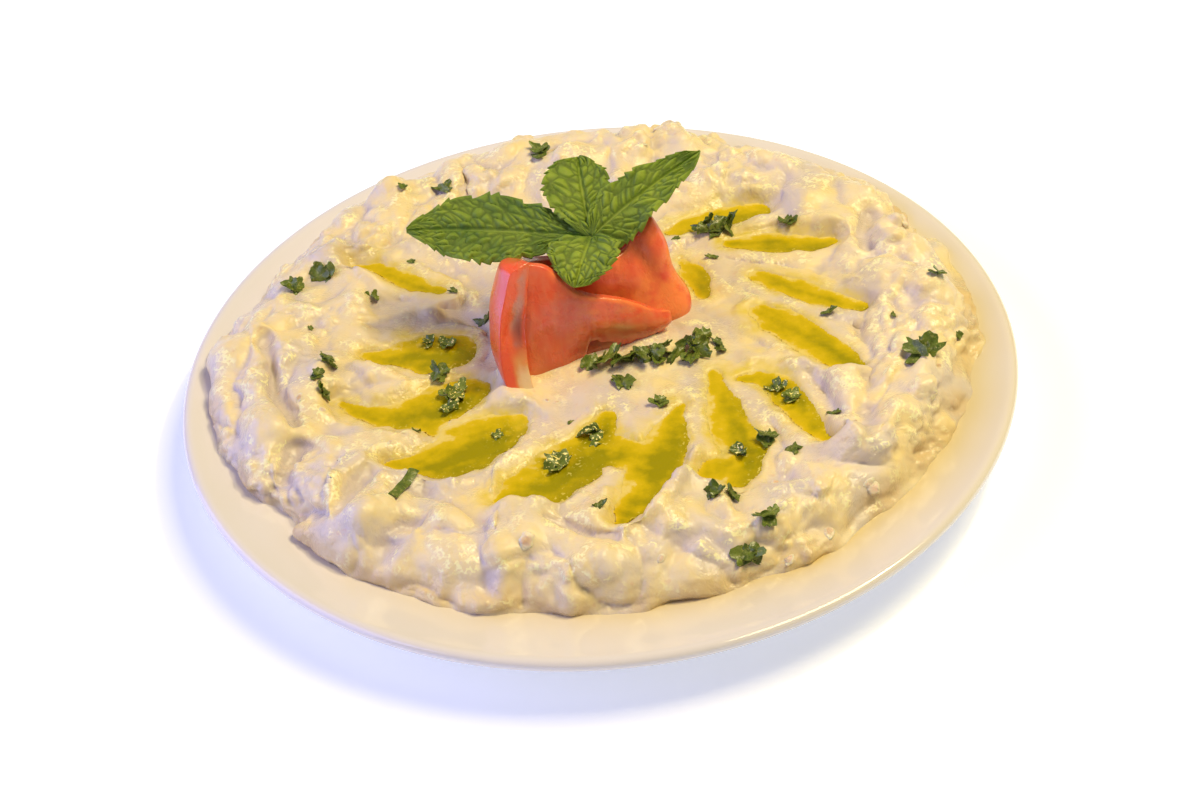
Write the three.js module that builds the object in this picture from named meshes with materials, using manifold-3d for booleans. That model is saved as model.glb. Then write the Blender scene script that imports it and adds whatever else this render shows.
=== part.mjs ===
// Creamy aubergine dip spread over a shallow round plate, with pools of olive oil in
// its spoon marks, chopped parsley, a rose of curled tomato strips and a mint sprig.
// Millimetres, +Z up. The origin is the centre of the plate on the table, and the
// diner who faces the plate looks along +Y.

import * as THREE from 'three';
import { mergeVertices } from 'three/addons/utils/BufferGeometryUtils.js';
import Module from 'manifold-3d';

const wasm = await Module();
wasm.setup();

// ---------------------------------------------------------------- driving sizes

const GAP = 0.3;                    // clearance between pieces that touch
const DEGREE = Math.PI / 180;

const PLATE_RADIUS = 125;
const PLATE_HEIGHT = 19;
const PLATE_WALL = 4.2;
const WELL_RADIUS = 70;             // flat middle of the plate
const WELL_LEVEL = 6.5;
const SLOPE_END = [119, 17.6];      // where it meets the rounded lip
const FOOT_INNER = 60;
const FOOT_OUTER = 71;
const FOOT_RECESS = 2.4;
const FOOT_SLANT = 2;               // how far its sides lean out and in
const FOOT_RISE = 2.6;              // where the underside starts to slope up
const LIP = [[1.2, 4], [0, 2.2], [0.5, 0.7], [1.8, 0], [3.4, 0.3]];  // in from the radius, down from the top
const PLATE_SIDES = 60;

const REACH = 112;                  // mean radius of the dip's foot
const REACH_BACK = 7.5;             // it is spread further towards the back
const REACH_SIDES = 3.5;            // and a little further to the left and right
const EDGE_DENTS = [                // angle and spread in degrees, push in millimetres
  { at: 208, push: -5.5, spread: 6 },
  { at: 147, push: -3.5, spread: 22 },
  { at: 332, push: -2.2, spread: 16 },
  { at: 180, push: 1.5, spread: 14 },
  { at: 256, push: -1.2, spread: 10 },
];
const EDGE_RIPPLES = [
  { count: 11, height: 0.8, phase: 0.6 },
  { count: 19, height: 0.7, phase: 2.1 },
  { count: 31, height: 0.5, phase: 4.4 },
];
const SIDE_START = 0.86;            // share of the reach where the side turns down
const CREST_LEVEL = 27.3;           // ring of dip inside the edge
const CREST_BACK = 1.2;             // the crest stands higher at the back
const MIDDLE_LEVEL = 23.6;          // under the garnish
const VALLEY_DEPTH = 1.4;           // spooned ring between middle and crest
const CREST_RISE = [0.56, 0.82];    // shares of the reach where the ring climbs

const LUMP_SEED = 4127;
const LUMP_COUNT = 230;
const LUMP_SPREAD = [4.5, 10.5];
const LUMP_LIFT = [0.7, 2.4];
const LUMP_GROWTH = [0.55, 1.25];   // lift in the middle and near the edge, as factors
const LUMP_GROWTH_SHARES = [0.5, 0.85];
const LUMP_FALL = 1.6;              // how fast a lump falls off from its middle
const LUMP_END = 6;                 // squared distance, in spreads, past which it ends
const HOLLOW_SHARE = 0.34;          // lumps that press in instead of standing out
const HOLLOW_DEPTH = 0.8;           // their depth, as a share of a lump's lift
const MOUND_RINGS = 20;
const RING_CROWDING = 0.32;         // rings lie closer together towards the edge

const BANK_WIDTH = 5.5;             // the dip slopes down to each pool over this
const BANK_LIP = 0.5;
const LEVEL_SHARE = 0.35;           // a pool's level, from its lowest bank to the mean one
const POOL_DEPTH = [1.1, 0.16];     // depth = first + second x half width
const POOL_ROWS = 8;
const POOL_COLUMNS = 4;
const POOL_TIP = 0.3;               // half width left at a pool's rounded ends, as a share
const OIL_EDGE = 0.25;              // thickness of the oil at its rim
const POOL_EDGE_CLEAR = 0.3;        // further room between a pool and a flake beside it
const ABOVE_ALL = 80;               // a level above every piece

// Pools of oil: each branch is a line of [x, y, half width] stations.
const POOLS = [
  { name: 'oil_left_back',
    branches: [[[-71, 9, 0.9], [-63, 7, 3.6], [-57, 8, 6.3], [-50, 7, 8.4], [-44, 7, 9], [-38, 6, 7]]] },
  { name: 'oil_left_middle',
    branches: [[[-76, -12, 1.4], [-70, -17, 2.5], [-64, -20, 3.4], [-58, -21, 4.3], [-51, -19, 5.9],
      [-45, -16, 7.8], [-39, -14, 7.4], [-33, -12, 5]]] },
  { name: 'oil_left_front',
    branches: [[[-66, -40, 1.2], [-59, -42, 2.5], [-52, -42, 4.9], [-46, -41, 8], [-39, -37, 9.7],
      [-33, -34, 8.6], [-27, -30, 5.7], [-21, -27, 2]]] },
  { name: 'oil_front',
    branches: [
      [[-32, -63, 3], [-23, -58, 6.8], [-17, -55, 8.6], [-11, -51, 8.8], [-6, -45, 7.2], [-1, -37, 4.6],
        [2, -29, 1.6]],
      [[-6, -46, 4.4], [2, -48, 4], [8, -51, 3.4], [14, -53, 3]],
      [[25, -29, 0.9], [22, -38, 3.6], [18, -45, 5.5], [15, -52, 6.6], [11, -61, 5.9], [6, -69, 4.3],
        [1, -77, 1.4]],
    ] },
  { name: 'oil_right_front',
    branches: [
      [[33, -16, 1.4], [33, -26, 3], [34, -34, 4.1], [36, -44, 5.2], [38, -52, 5.6], [37, -59, 4.8],
        [36, -65, 2.6]],
      [[36, -56, 4.4], [31, -57, 4.4], [26, -59, 2.4]],
    ] },
  { name: 'oil_right_middle',
    branches: [[[42, -20, 1.2], [47, -21.5, 2.3], [51, -25, 3.6], [55, -31, 5], [58, -38, 4],
      [60, -44, 2.9], [63, -51, 1.4]]] },
  { name: 'oil_right_lower',
    branches: [[[51, 12, 2], [56, 6, 5.5], [62, 0, 5.9], [67, -7, 5.4], [72, -13, 4.6], [77, -19, 2]]] },
  { name: 'oil_right_streak',
    branches: [[[49, 29, 1.3], [57, 25, 2.9], [63, 20, 4], [70, 15, 3.2], [76, 11, 2.4], [82, 7, 1.2]]] },
  { name: 'oil_right_upper',
    branches: [[[45, 45, 1.8], [53, 44, 3.7], [61, 43, 4.2], [69, 42, 3.6], [78, 41, 1.4]]] },
  { name: 'oil_right_back',
    branches: [[[25, 55, 1.4], [34, 59, 3.3], [42, 61, 4], [50, 62, 4.1], [60, 63, 2.2]]] },
  { name: 'oil_by_tomato', branches: [[[31, 44, 1.2], [33, 36, 3.1], [34.5, 28, 3], [35, 20, 1.3]]] },
  { name: 'oil_back_left', branches: [[[-75, 53, 1], [-66, 51, 2.3], [-59, 45, 3.2], [-53, 39, 2.8],
    [-45, 33, 1.2]]] },
];

const FLAKE_SEED = 911;
const FLAKE_POINTS = [6, 8];         // corners of a small flake and of a large one
const LARGE_FLAKE = 6.5;
const FLAKE_THICKNESS = 0.9;
const FLAKE_SINK = 0.6;             // how far a flake is pressed into what carries it
const FLAKE_NOTCH = [0.58, 0.75];   // distance of a notch from the middle, as a share
const FLAKE_LOBE = [0.85, 1];       // distance of a lobe's tip, as a share

// Single flakes on the dip: [x, y, length, width, turn in degrees].
const DIP_FLAKES = [
  [-12, 96, 8, 5, 80], [-43, 84, 8, 3, 70], [-83, 47, 9, 6, -20], [-92, 40, 7.5, 5.5, 10],
  [-67, 34, 5.5, 3.5, 60], [-80, 2, 8, 5, 80], [-82.5, -4.5, 5, 3.6, 40], [-81, -10, 6, 5, 120],
  [-57, -56, 13, 2.8, 62], [-47, -5, 7.5, 4.4, 0], [-3.5, -73, 4.4, 3.6, 0], [7, -17.5, 8.5, 5, 50],
  [17.5, -28, 5.5, 4, 70], [64, 50, 6.5, 4, 80], [46, -48, 9, 4, 45], [51, -55, 6, 5.5, 30],
  [28.5, -71, 6, 5, 20], [33.5, -70.5, 5, 4.5, 60], [42, -82.5, 8.5, 4.5, 5],
  [35.5, -90.5, 8, 6, 60], [92, -23, 11, 8, 20], [71, 6, 4, 3.2, 0], [105, 10, 5, 3, 60],
  [-33, 22, 7, 4.5, 80], [32, -0.5, 7.5, 4, 75], [36.5, -4.5, 6, 4, -40],
];

// Flakes that float on the oil: the pool's name, then as above.
const OIL_FLAKES = [
  ['oil_left_back', [-51, 11.5, 6, 3.5, 0]], ['oil_left_back', [-44.5, 9.5, 6.5, 4.5, 0]],
  ['oil_left_middle', [-42, -13.5, 9, 6.5, 20]], ['oil_left_middle', [-44, -19.5, 5.5, 4.5, 90]],
  ['oil_left_front', [-30, -33, 5.5, 4.6, 20]], ['oil_front', [-13.5, -49, 9, 5.5, -30]],
  ['oil_front', [-3, -39, 8, 5.6, 63]], ['oil_right_front', [37.2, -52.5, 6, 5, 80]],
  ['oil_right_middle', [51, -25.5, 6, 4, -45]], ['oil_right_middle', [55.3, -31.6, 6, 5.4, 0]],
];

// Heaps of flakes: centre, half sizes of the heap along x and y, number of flakes.
const FLAKE_HEAPS = [
  { x: 4, y: -8.6, halfX: 7, halfY: 1.2, count: 4 },
  { x: 23, y: -7.2, halfX: 12, halfY: 2.2, count: 8 },
  { x: 42, y: 52, halfX: 5.5, halfY: 2, count: 3 },
];
const HEAP_FLAKE = [5.5, 9];         // length of a heap's flakes
const HEAP_FLAKE_WIDTH = 0.7;       // their width, as a share of it
const HEAP_LIFT = 1.6;              // how far the upper ones lie above the dip

const STRIP_ROWS = 12;
const STRIP_COLUMNS = 4;
const EDGE_THIN = 0.45;             // a strip's edges, as a share of its full thickness

// Tomato strips: stations along the curl, anticlockwise from above, each with the middle
// of the lower edge, the middle of the upper edge, both [x, y, z], and the thickness.
// bow is how far the middle of the strip's height bulges outwards.
const TOMATO_STRIPS = [
  { name: 'tomato_outer',
    bow: 3.4,
    stations: [
      { low: [-3, 25, 21], high: [-3, 24, 39], thickness: 3.4 },
      { low: [-14, 21.6, 21], high: [-12, 21, 41.5], thickness: 3.8 },
      { low: [-21.6, 14, 21], high: [-18.6, 15.6, 44.5], thickness: 4.8 },
      { low: [-24.6, 4, 21], high: [-21.2, 9.6, 48], thickness: 6.4 },
      { low: [-24.4, -7, 21], high: [-20.6, 4.6, 50], thickness: 7.6 },
      { low: [-21, -17.6, 21], high: [-17.4, 1.4, 50], thickness: 7.4 },
    ] },
  { name: 'tomato_front',
    bow: 1.2,
    stations: [
      { low: [-18.4, -11.4, 21], high: [-14.8, 3.6, 51], thickness: 2.6 },
      { low: [-12, -9.4, 21], high: [-9.6, 2.8, 48.8], thickness: 3.4 },
      { low: [-5, -5, 22], high: [-4, 1, 43.4], thickness: 4 },
      { low: [4, -0.8, 22], high: [4.4, 2.2, 39.6], thickness: 4 },
      { low: [12, 0.6, 22], high: [12.4, 3.6, 35.4], thickness: 3.6 },
      { low: [19.4, 2, 22], high: [19, 4.8, 30], thickness: 2.8 },
      { low: [24.6, 4.2, 22], high: [24, 5.8, 26.4], thickness: 1.8 },
    ] },
  { name: 'tomato_inner',
    bow: 2,
    stations: [
      { low: [-4, 8.6, 21], high: [-5, 10.6, 36], thickness: 2.8 },
      { low: [7, 8.8, 21], high: [5, 13, 38.6], thickness: 3.2 },
      { low: [17, 10, 21], high: [12, 17.8, 42], thickness: 3.6 },
      { low: [26, 13, 21], high: [17.8, 23.4, 49], thickness: 3.6 },
      { low: [28.2, 18, 21], high: [20.2, 26.6, 52.4], thickness: 3.2 },
      { low: [25, 25.4, 21], high: [20, 30.6, 46], thickness: 3 },
      { low: [17, 30.6, 21], high: [15.4, 33, 38], thickness: 2.8 },
      { low: [8, 32, 21], high: [7, 33, 34], thickness: 2.4 },
    ] },
];

const SPRIG_JOINT = [4, 16, 50];    // where the mint leaves meet the stem
const STEM_RADIUS = 1.5;
const STEM_SIDES = 8;
const LEAF_ROWS = 13;
const LEAF_COLUMNS = 4;
const LEAF_THICKNESS = 0.9;
const LEAF_TEETH = 0.09;            // tooth depth as a share of the half width
const LEAF_FULLNESS = 0.75;         // exponent of the outline: lower is fuller
const LEAF_TIP = 0.5;               // half width left at the tip
const LEAF_WAVE = { height: 0.5, perRow: 2.1, phase: 1.7 };

// Mint leaves: middle and tip of the midrib, half width, the direction of the right
// half of the blade, how steeply the halves fold up, and where the leaf is widest.
const MINT_LEAVES = [
  { middle: [-27, 22, 54], tip: [-52.5, 25, 54.4], half: 11.6, side: [0.08, 0.93, 0.36], fold: 0.16,
    widest: 0.5 },
  { middle: [1, 30, 58.5], tip: [-2.5, 41, 63], half: 9.2, side: [0.97, 0.02, -0.1], fold: 0.2,
    widest: 0.5 },
  { middle: [19, 25, 62], tip: [37, 35, 67], half: 7.6, side: [0.5, -0.68, -0.2], fold: 0.42,
    widest: 0.5 },
  { middle: [0.5, 5.5, 51.5], tip: [-4, -3, 45.5], half: 11, side: [0.98, -0.12, 0.02], fold: 0.1,
    widest: 0.48 },
];

// -------------------------------------------------------------------- small maths

const mix = (a, b, share) => a + (b - a) * share;
const clamp01 = (value) => Math.min(1, Math.max(0, value));

function smoothStep(low, high, value) {
  const share = clamp01((value - low) / (high - low));
  return share * share * (3 - 2 * share);
}

/** Park-Miller generator: the same draws on every run. */
function seededRandom(seed) {
  let state = seed;
  return () => {
    state = (state * 48271) % 2147483647;
    return state / 2147483647;
  };
}

/** Degrees between two directions, from -180 to 180. */
function turnBetween(from, to) {
  return ((((to - from + 180) % 360) + 360) % 360) - 180;
}

// -------------------------------------------------------------- solids and meshes

/** Closed mesh from points and triangles, turned so that its faces point out. */
function closedGeometry(points, triangles) {
  let volume = 0;
  const [a, b, c] = [new THREE.Vector3(), new THREE.Vector3(), new THREE.Vector3()];
  for (const triangle of triangles) {
    a.set(...points[triangle[0]]);
    b.set(...points[triangle[1]]);
    c.set(...points[triangle[2]]);
    volume += a.dot(b.cross(c));
  }
  const faces = volume > 0 ? triangles : triangles.map(([i, j, k]) => [i, k, j]);
  const geometry = new THREE.BufferGeometry();
  geometry.setAttribute('position', new THREE.Float32BufferAttribute(points.flat(), 3));
  geometry.setIndex(faces.flat());
  return geometry;
}

/** Closed solid between two grids of points, split into triangles alike. */
function slab(rows, columns, upper, lower) {
  const points = [];
  for (const face of [upper, lower]) {
    for (let i = 0; i <= rows; i++) {
      for (let j = 0; j <= columns; j++) points.push(face(i, j));
    }
  }
  const perFace = (rows + 1) * (columns + 1);
  const at = (i, j) => i * (columns + 1) + j;
  const triangles = [];
  for (let i = 0; i < rows; i++) {
    for (let j = 0; j < columns; j++) {
      const corners = [at(i, j), at(i + 1, j), at(i + 1, j + 1), at(i, j + 1)];
      const [a, b, c, d] = corners;
      triangles.push([a, b, c], [a, c, d]);
      triangles.push([a + perFace, c + perFace, b + perFace], [a + perFace, d + perFace, c + perFace]);
    }
  }
  const rim = [];
  for (let i = 0; i < rows; i++) rim.push(at(i, 0));
  for (let j = 0; j < columns; j++) rim.push(at(rows, j));
  for (let i = rows; i > 0; i--) rim.push(at(i, columns));
  for (let j = columns; j > 0; j--) rim.push(at(0, j));
  rim.forEach((from, index) => {
    const to = rim[(index + 1) % rim.length];
    triangles.push([from, from + perFace, to], [to, from + perFace, to + perFace]);
  });
  return closedGeometry(points, triangles);
}

function toSolid(geometry) {
  const bare = geometry.clone();
  bare.deleteAttribute('normal');
  bare.deleteAttribute('uv');
  const merged = mergeVertices(bare, 1e-4);
  return new wasm.Manifold(new wasm.Mesh({
    numProp: 3,
    vertProperties: new Float32Array(merged.attributes.position.array),
    triVerts: new Uint32Array(merged.index.array),
  }));
}

function toGeometry(solid) {
  const mesh = solid.getMesh();
  const geometry = new THREE.BufferGeometry();
  geometry.setAttribute('position', new THREE.Float32BufferAttribute(mesh.vertProperties, 3));
  geometry.setIndex([...mesh.triVerts]);
  return geometry;
}

/** The largest body of a solid, without the scraps that a cut leaves. */
function mainBody(solid) {
  const bodies = solid.decompose();
  return bodies.reduce((best, body) => (body.volume() > best.volume() ? body : best));
}

/** Smooth line through stations of equal length lists, read at share 0 to 1. */
function alongStations(stations, share) {
  const last = stations.length - 1;
  const index = Math.min(last - 1, Math.floor(share * last));
  const local = share * last - index;
  const at = (step) => stations[Math.min(last, Math.max(0, index + step))];
  const [before, from, to, after] = [at(-1), at(0), at(1), at(2)];
  return from.map((value, axis) => {
    const slopeIn = (to[axis] - before[axis]) / 2;
    const slopeOut = (after[axis] - value) / 2;
    const cube = local ** 3;
    const square = local ** 2;
    return value * (2 * cube - 3 * square + 1) + slopeIn * (cube - 2 * square + local)
      + to[axis] * (3 * square - 2 * cube) + slopeOut * (cube - square);
  });
}

// -------------------------------------------------------------------------- plate

/** Height of the plate's inner surface at a radius. */
function plateTop(radius) {
  if (radius <= WELL_RADIUS) return WELL_LEVEL;
  const share = (radius - WELL_RADIUS) / (SLOPE_END[0] - WELL_RADIUS);
  return mix(WELL_LEVEL, SLOPE_END[1], share);
}

function plateGeometry() {
  const underside = plateTop(SLOPE_END[0]) - PLATE_WALL;
  const profile = [
    [0, FOOT_RECESS],
    [FOOT_INNER - FOOT_SLANT, FOOT_RECESS],
    [FOOT_INNER, 0],
    [FOOT_OUTER, 0],
    [FOOT_OUTER + FOOT_SLANT, FOOT_RISE],
    [SLOPE_END[0], underside],
    ...LIP.map(([inwards, down]) => [PLATE_RADIUS - inwards, PLATE_HEIGHT - down]),
    SLOPE_END,
    [WELL_RADIUS, WELL_LEVEL],
    [0, WELL_LEVEL],
  ].map(([radius, height]) => new THREE.Vector2(radius, height));
  return new THREE.LatheGeometry(profile, PLATE_SIDES).rotateX(Math.PI / 2);
}

// ---------------------------------------------------------------------------- dip

/** Radius of the dip's foot in a direction, given in degrees from +X. */
function moundReach(angle) {
  const radians = angle * DEGREE;
  let reach = REACH + REACH_BACK * Math.sin(radians) + REACH_SIDES * Math.cos(2 * radians);
  for (const dent of EDGE_DENTS) {
    reach += dent.push * Math.exp(-((turnBetween(dent.at, angle) / dent.spread) ** 2));
  }
  for (const ripple of EDGE_RIPPLES) {
    reach += ripple.height * Math.sin(ripple.count * radians + ripple.phase);
  }
  return reach;
}

/** Soft lumps of pulp, spread evenly over the mound and highest near its edge. */
function drawLumps() {
  const random = seededRandom(LUMP_SEED);
  const lumps = [];
  for (let i = 0; i < LUMP_COUNT; i++) {
    const angle = 360 * random();
    const share = Math.sqrt(random());
    const radius = share * moundReach(angle);
    const spread = mix(...LUMP_SPREAD, random());
    const sign = random() < HOLLOW_SHARE ? -HOLLOW_DEPTH : 1;
    const growth = mix(...LUMP_GROWTH, smoothStep(...LUMP_GROWTH_SHARES, share));
    const lift = sign * mix(...LUMP_LIFT, random()) * growth;
    lumps.push({
      x: radius * Math.cos(angle * DEGREE),
      y: radius * Math.sin(angle * DEGREE),
      spread,
      lift,
    });
  }
  return lumps;
}

const LUMPS = drawLumps();

/** Height of the spread dip before the oil's spoon marks are pressed into it. */
function spreadHeight(x, y) {
  const radius = Math.hypot(x, y);
  const angle = Math.atan2(y, x) / DEGREE;
  const share = radius / moundReach(angle);
  const crest = CREST_LEVEL + CREST_BACK * Math.sin(angle * DEGREE) * share;
  const valley = VALLEY_DEPTH * Math.sin(Math.PI * clamp01(share / CREST_RISE[1])) ** 2;
  let top = mix(MIDDLE_LEVEL, crest, smoothStep(...CREST_RISE, share)) - valley;
  for (const lump of LUMPS) {
    const away = ((x - lump.x) ** 2 + (y - lump.y) ** 2) / lump.spread ** 2;
    if (away < LUMP_END) top += lump.lift * Math.exp(-away * LUMP_FALL);
  }
  const down = clamp01((share - SIDE_START) / (1 - SIDE_START));
  const floor = plateTop(radius) + GAP;
  return floor + (top - floor) * Math.sqrt(1 - down * down);
}

/** Distance from a point to a branch's middle line, as a share of its half width. */
function branchDistance(branch, x, y) {
  let nearest = { share: Infinity, away: Infinity };
  for (let i = 0; i < branch.length - 1; i++) {
    const [ax, ay, aHalf] = branch[i];
    const [bx, by, bHalf] = branch[i + 1];
    const along = clamp01(((x - ax) * (bx - ax) + (y - ay) * (by - ay))
      / ((bx - ax) ** 2 + (by - ay) ** 2));
    const away = Math.hypot(x - mix(ax, bx, along), y - mix(ay, by, along));
    const half = mix(aHalf, bHalf, along);
    if (away - half < nearest.away) nearest = { share: away / half, away: away - half };
  }
  return nearest;
}

/** Level of a pool: a little below the lowest dip along its middle lines. */
function poolLevel(pool) {
  const heights = pool.branches.flat().map(([x, y]) => spreadHeight(x, y));
  const mean = heights.reduce((sum, height) => sum + height, 0) / heights.length;
  return mix(Math.min(...heights), mean, LEVEL_SHARE) - BANK_LIP;
}

const LEVELS = new Map(POOLS.map((pool) => [pool.name, poolLevel(pool)]));

/** Height of the dip with a bank sloping down to every pool. */
function dipHeight(x, y) {
  let height = spreadHeight(x, y);
  for (const pool of POOLS) {
    const away = Math.min(...pool.branches.map((branch) => branchDistance(branch, x, y).away));
    if (away > BANK_WIDTH) continue;
    const bank = LEVELS.get(pool.name) + BANK_LIP;
    height = mix(bank, height, smoothStep(0, BANK_WIDTH, away));
  }
  return height;
}

/** Disc of concentric rings, six more points in each, over a flat-bottomed shell. */
function moundGeometry() {
  const points = [[0, 0, dipHeight(0, 0)]];
  const triangles = [];
  const ringStart = (ring) => (ring === 0 ? 0 : 1 + 3 * ring * (ring - 1));
  const ringPoint = (ring, index) => ringStart(ring) + (ring === 0 ? 0 : index % (6 * ring));
  for (let ring = 1; ring <= MOUND_RINGS; ring++) {
    const even = ring / MOUND_RINGS;
    const share = even * (1 + RING_CROWDING * (1 - even));
    for (let index = 0; index < 6 * ring; index++) {
      const angle = (60 * index) / ring;
      const radius = share * moundReach(angle);
      const [x, y] = [radius * Math.cos(angle * DEGREE), radius * Math.sin(angle * DEGREE)];
      const height = ring === MOUND_RINGS ? plateTop(radius) + GAP : dipHeight(x, y);
      points.push([x, y, height]);
    }
    for (let sector = 0; sector < 6; sector++) {
      for (let i = 0; i < ring; i++) {
        const outer = sector * ring + i;
        const inner = sector * (ring - 1) + i;
        triangles.push([ringPoint(ring, outer), ringPoint(ring, outer + 1), ringPoint(ring - 1, inner)]);
        if (i === ring - 1) continue;
        triangles.push([ringPoint(ring - 1, inner), ringPoint(ring, outer + 1),
          ringPoint(ring - 1, inner + 1)]);
      }
    }
  }
  const sides = 6 * MOUND_RINGS;
  const well = points.length;
  for (let index = 0; index < sides; index++) {
    const angle = (360 * index) / sides * DEGREE;
    points.push([WELL_RADIUS * Math.cos(angle), WELL_RADIUS * Math.sin(angle), WELL_LEVEL + GAP]);
  }
  const middle = points.length;
  points.push([0, 0, WELL_LEVEL + GAP]);
  const foot = ringStart(MOUND_RINGS);
  for (let index = 0; index < sides; index++) {
    const next = (index + 1) % sides;
    triangles.push([foot + index, well + index, foot + next], [foot + next, well + index, well + next]);
    triangles.push([well + index, middle, well + next]);
  }
  return closedGeometry(points, triangles);
}

// ---------------------------------------------------------------------------- oil

/**
 * Solid that follows a branch: its bottom is a trough, its top is flat.
 * inset draws it in from the trough's walls and lifts it off its floor,
 * grow widens it past them.
 */
function troughSolid(branch, level, top, inset, grow) {
  const tangentStep = 0.02;
  const place = (i, j, height) => {
    const ends = [branch[0], branch.at(-1)];
    const length = Math.hypot(ends[0][0] - ends[1][0], ends[0][1] - ends[1][1]);
    const pull = inset / length;
    const rowShare = (1 - Math.cos((Math.PI * i) / POOL_ROWS)) / 2;
    const stationHalf = alongStations(branch, rowShare)[2];
    const toEnd = clamp01((Math.min(rowShare, 1 - rowShare) * length) / stationHalf);
    const share = mix(pull, 1 - pull, rowShare);
    const [x, y] = alongStations(branch, share);
    const half = stationHalf * mix(POOL_TIP, 1, Math.sqrt(toEnd * (2 - toEnd))) + grow;
    const ahead = alongStations(branch, Math.min(1, share + tangentStep));
    const behind = alongStations(branch, Math.max(0, share - tangentStep));
    const tangent = new THREE.Vector2(ahead[0] - behind[0], ahead[1] - behind[1]).normalize();
    const depth = POOL_DEPTH[0] + POOL_DEPTH[1] * half;
    const keep = inset > 0 ? Math.sqrt(1 - (inset + OIL_EDGE) / depth) : 1;
    const across = keep * Math.sin((j / POOL_COLUMNS - 0.5) * Math.PI);
    const floor = level - depth * (1 - across * across) + inset;
    return [x - tangent.y * across * half, y + tangent.x * across * half, height ?? floor];
  };
  return toSolid(slab(POOL_ROWS, POOL_COLUMNS, (i, j) => place(i, j, top), (i, j) => place(i, j)));
}

function poolSolid(pool, { top = LEVELS.get(pool.name), inset = 0, grow = 0 }) {
  const level = LEVELS.get(pool.name);
  const parts = pool.branches.map((branch) => troughSolid(branch, level, top, inset, grow));
  return parts.reduce((whole, part) => whole.add(part));
}

// ------------------------------------------------------------------------ parsley

/** Notched flake of leaf that follows whatever surface it lies on. */
function flakeSolid([x, y, length, width, turn], surface, random, lift = 0) {
  const [cos, sin] = [Math.cos(turn * DEGREE), Math.sin(turn * DEGREE)];
  const corners = FLAKE_POINTS[length < LARGE_FLAKE ? 0 : 1];
  const outline = [[0, 0]];
  for (let i = 0; i < corners; i++) {
    const angle = (2 * Math.PI * i) / corners;
    const radius = mix(...(i % 2 ? FLAKE_NOTCH : FLAKE_LOBE), random()) / 2;
    const [along, across] = [length * radius * Math.cos(angle), width * radius * Math.sin(angle)];
    outline.push([cos * along - sin * across, sin * along + cos * across]);
  }
  const heights = outline.map(([dx, dy]) => surface(x + dx, y + dy));
  const points = [];
  for (const offset of [FLAKE_THICKNESS + lift, -FLAKE_SINK]) {
    outline.forEach(([dx, dy], index) => points.push([x + dx, y + dy, heights[index] + offset]));
  }
  const lower = corners + 1;
  const triangles = [];
  for (let i = 0; i < corners; i++) {
    const [from, to] = [1 + i, 1 + ((i + 1) % corners)];
    triangles.push([0, from, to], [lower, lower + to, lower + from]);
    triangles.push([from, lower + from, to], [to, lower + from, lower + to]);
  }
  return toSolid(closedGeometry(points, triangles));
}

/** Flakes of a heap, drawn inside its outline, the later ones lying on the first. */
function heapFlakes(heap, random) {
  const flakes = [];
  for (let i = 0; i < heap.count; i++) {
    const x = heap.x + heap.halfX * (2 * ((i + 0.5) / heap.count) - 1);
    const y = heap.y + heap.halfY * (2 * random() - 1);
    const length = mix(...HEAP_FLAKE, random());
    const flake = [x, y, length, length * HEAP_FLAKE_WIDTH, 180 * random()];
    flakes.push({ flake, lift: HEAP_LIFT * random() });
  }
  return flakes;
}

/** Height of the highest point of a mesh above the table at x, y. */
function surfaceOf(geometry) {
  const mesh = new THREE.Mesh(geometry, new THREE.MeshBasicMaterial({ side: THREE.DoubleSide }));
  const down = new THREE.Vector3(0, 0, -1);
  return (x, y) => {
    const hits = new THREE.Raycaster(new THREE.Vector3(x, y, ABOVE_ALL), down).intersectObject(mesh);
    return hits.length ? hits[0].point.z : plateTop(Math.hypot(x, y)) + GAP;
  };
}

// ------------------------------------------------------------------------- tomato

/** Curled strip of tomato wall, standing on its lower edge. */
function stripSolid(strip) {
  const lines = strip.stations.map(({ low, high, thickness }) => [...low, ...high, thickness]);
  const tangentStep = 0.01;
  const place = (i, j, side) => {
    const share = i / STRIP_ROWS;
    const station = alongStations(lines, share);
    const ahead = alongStations(lines, Math.min(1, share + tangentStep));
    const behind = alongStations(lines, Math.max(0, share - tangentStep));
    const height = j / STRIP_COLUMNS;
    const middle = [0, 1, 2].map((axis) => mix(station[axis], station[axis + 3], height));
    const run = new THREE.Vector2(
      mix(ahead[0] - behind[0], ahead[3] - behind[3], height),
      mix(ahead[1] - behind[1], ahead[4] - behind[4], height),
    ).normalize();
    const belly = Math.sin(Math.PI * height);
    const out = (side * station[6] * mix(EDGE_THIN, 1, belly)) / 2 + strip.bow * belly;
    return [middle[0] + run.y * out, middle[1] - run.x * out, middle[2]];
  };
  return toSolid(slab(STRIP_ROWS, STRIP_COLUMNS, (i, j) => place(i, j, 1), (i, j) => place(i, j, -1)));
}

// --------------------------------------------------------------------------- mint

/** Half width of a blade along its midrib, with a tooth at every second row. */
function bladeHalf(leaf, row) {
  const share = row / LEAF_ROWS;
  const skewed = share ** (Math.log(0.5) / Math.log(leaf.widest));
  const bulge = Math.sin(Math.PI * skewed) ** LEAF_FULLNESS;
  const tooth = row % 2 ? 1 + LEAF_TEETH : 1 - LEAF_TEETH;
  return Math.max(LEAF_TIP, leaf.half * bulge * tooth);
}

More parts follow.
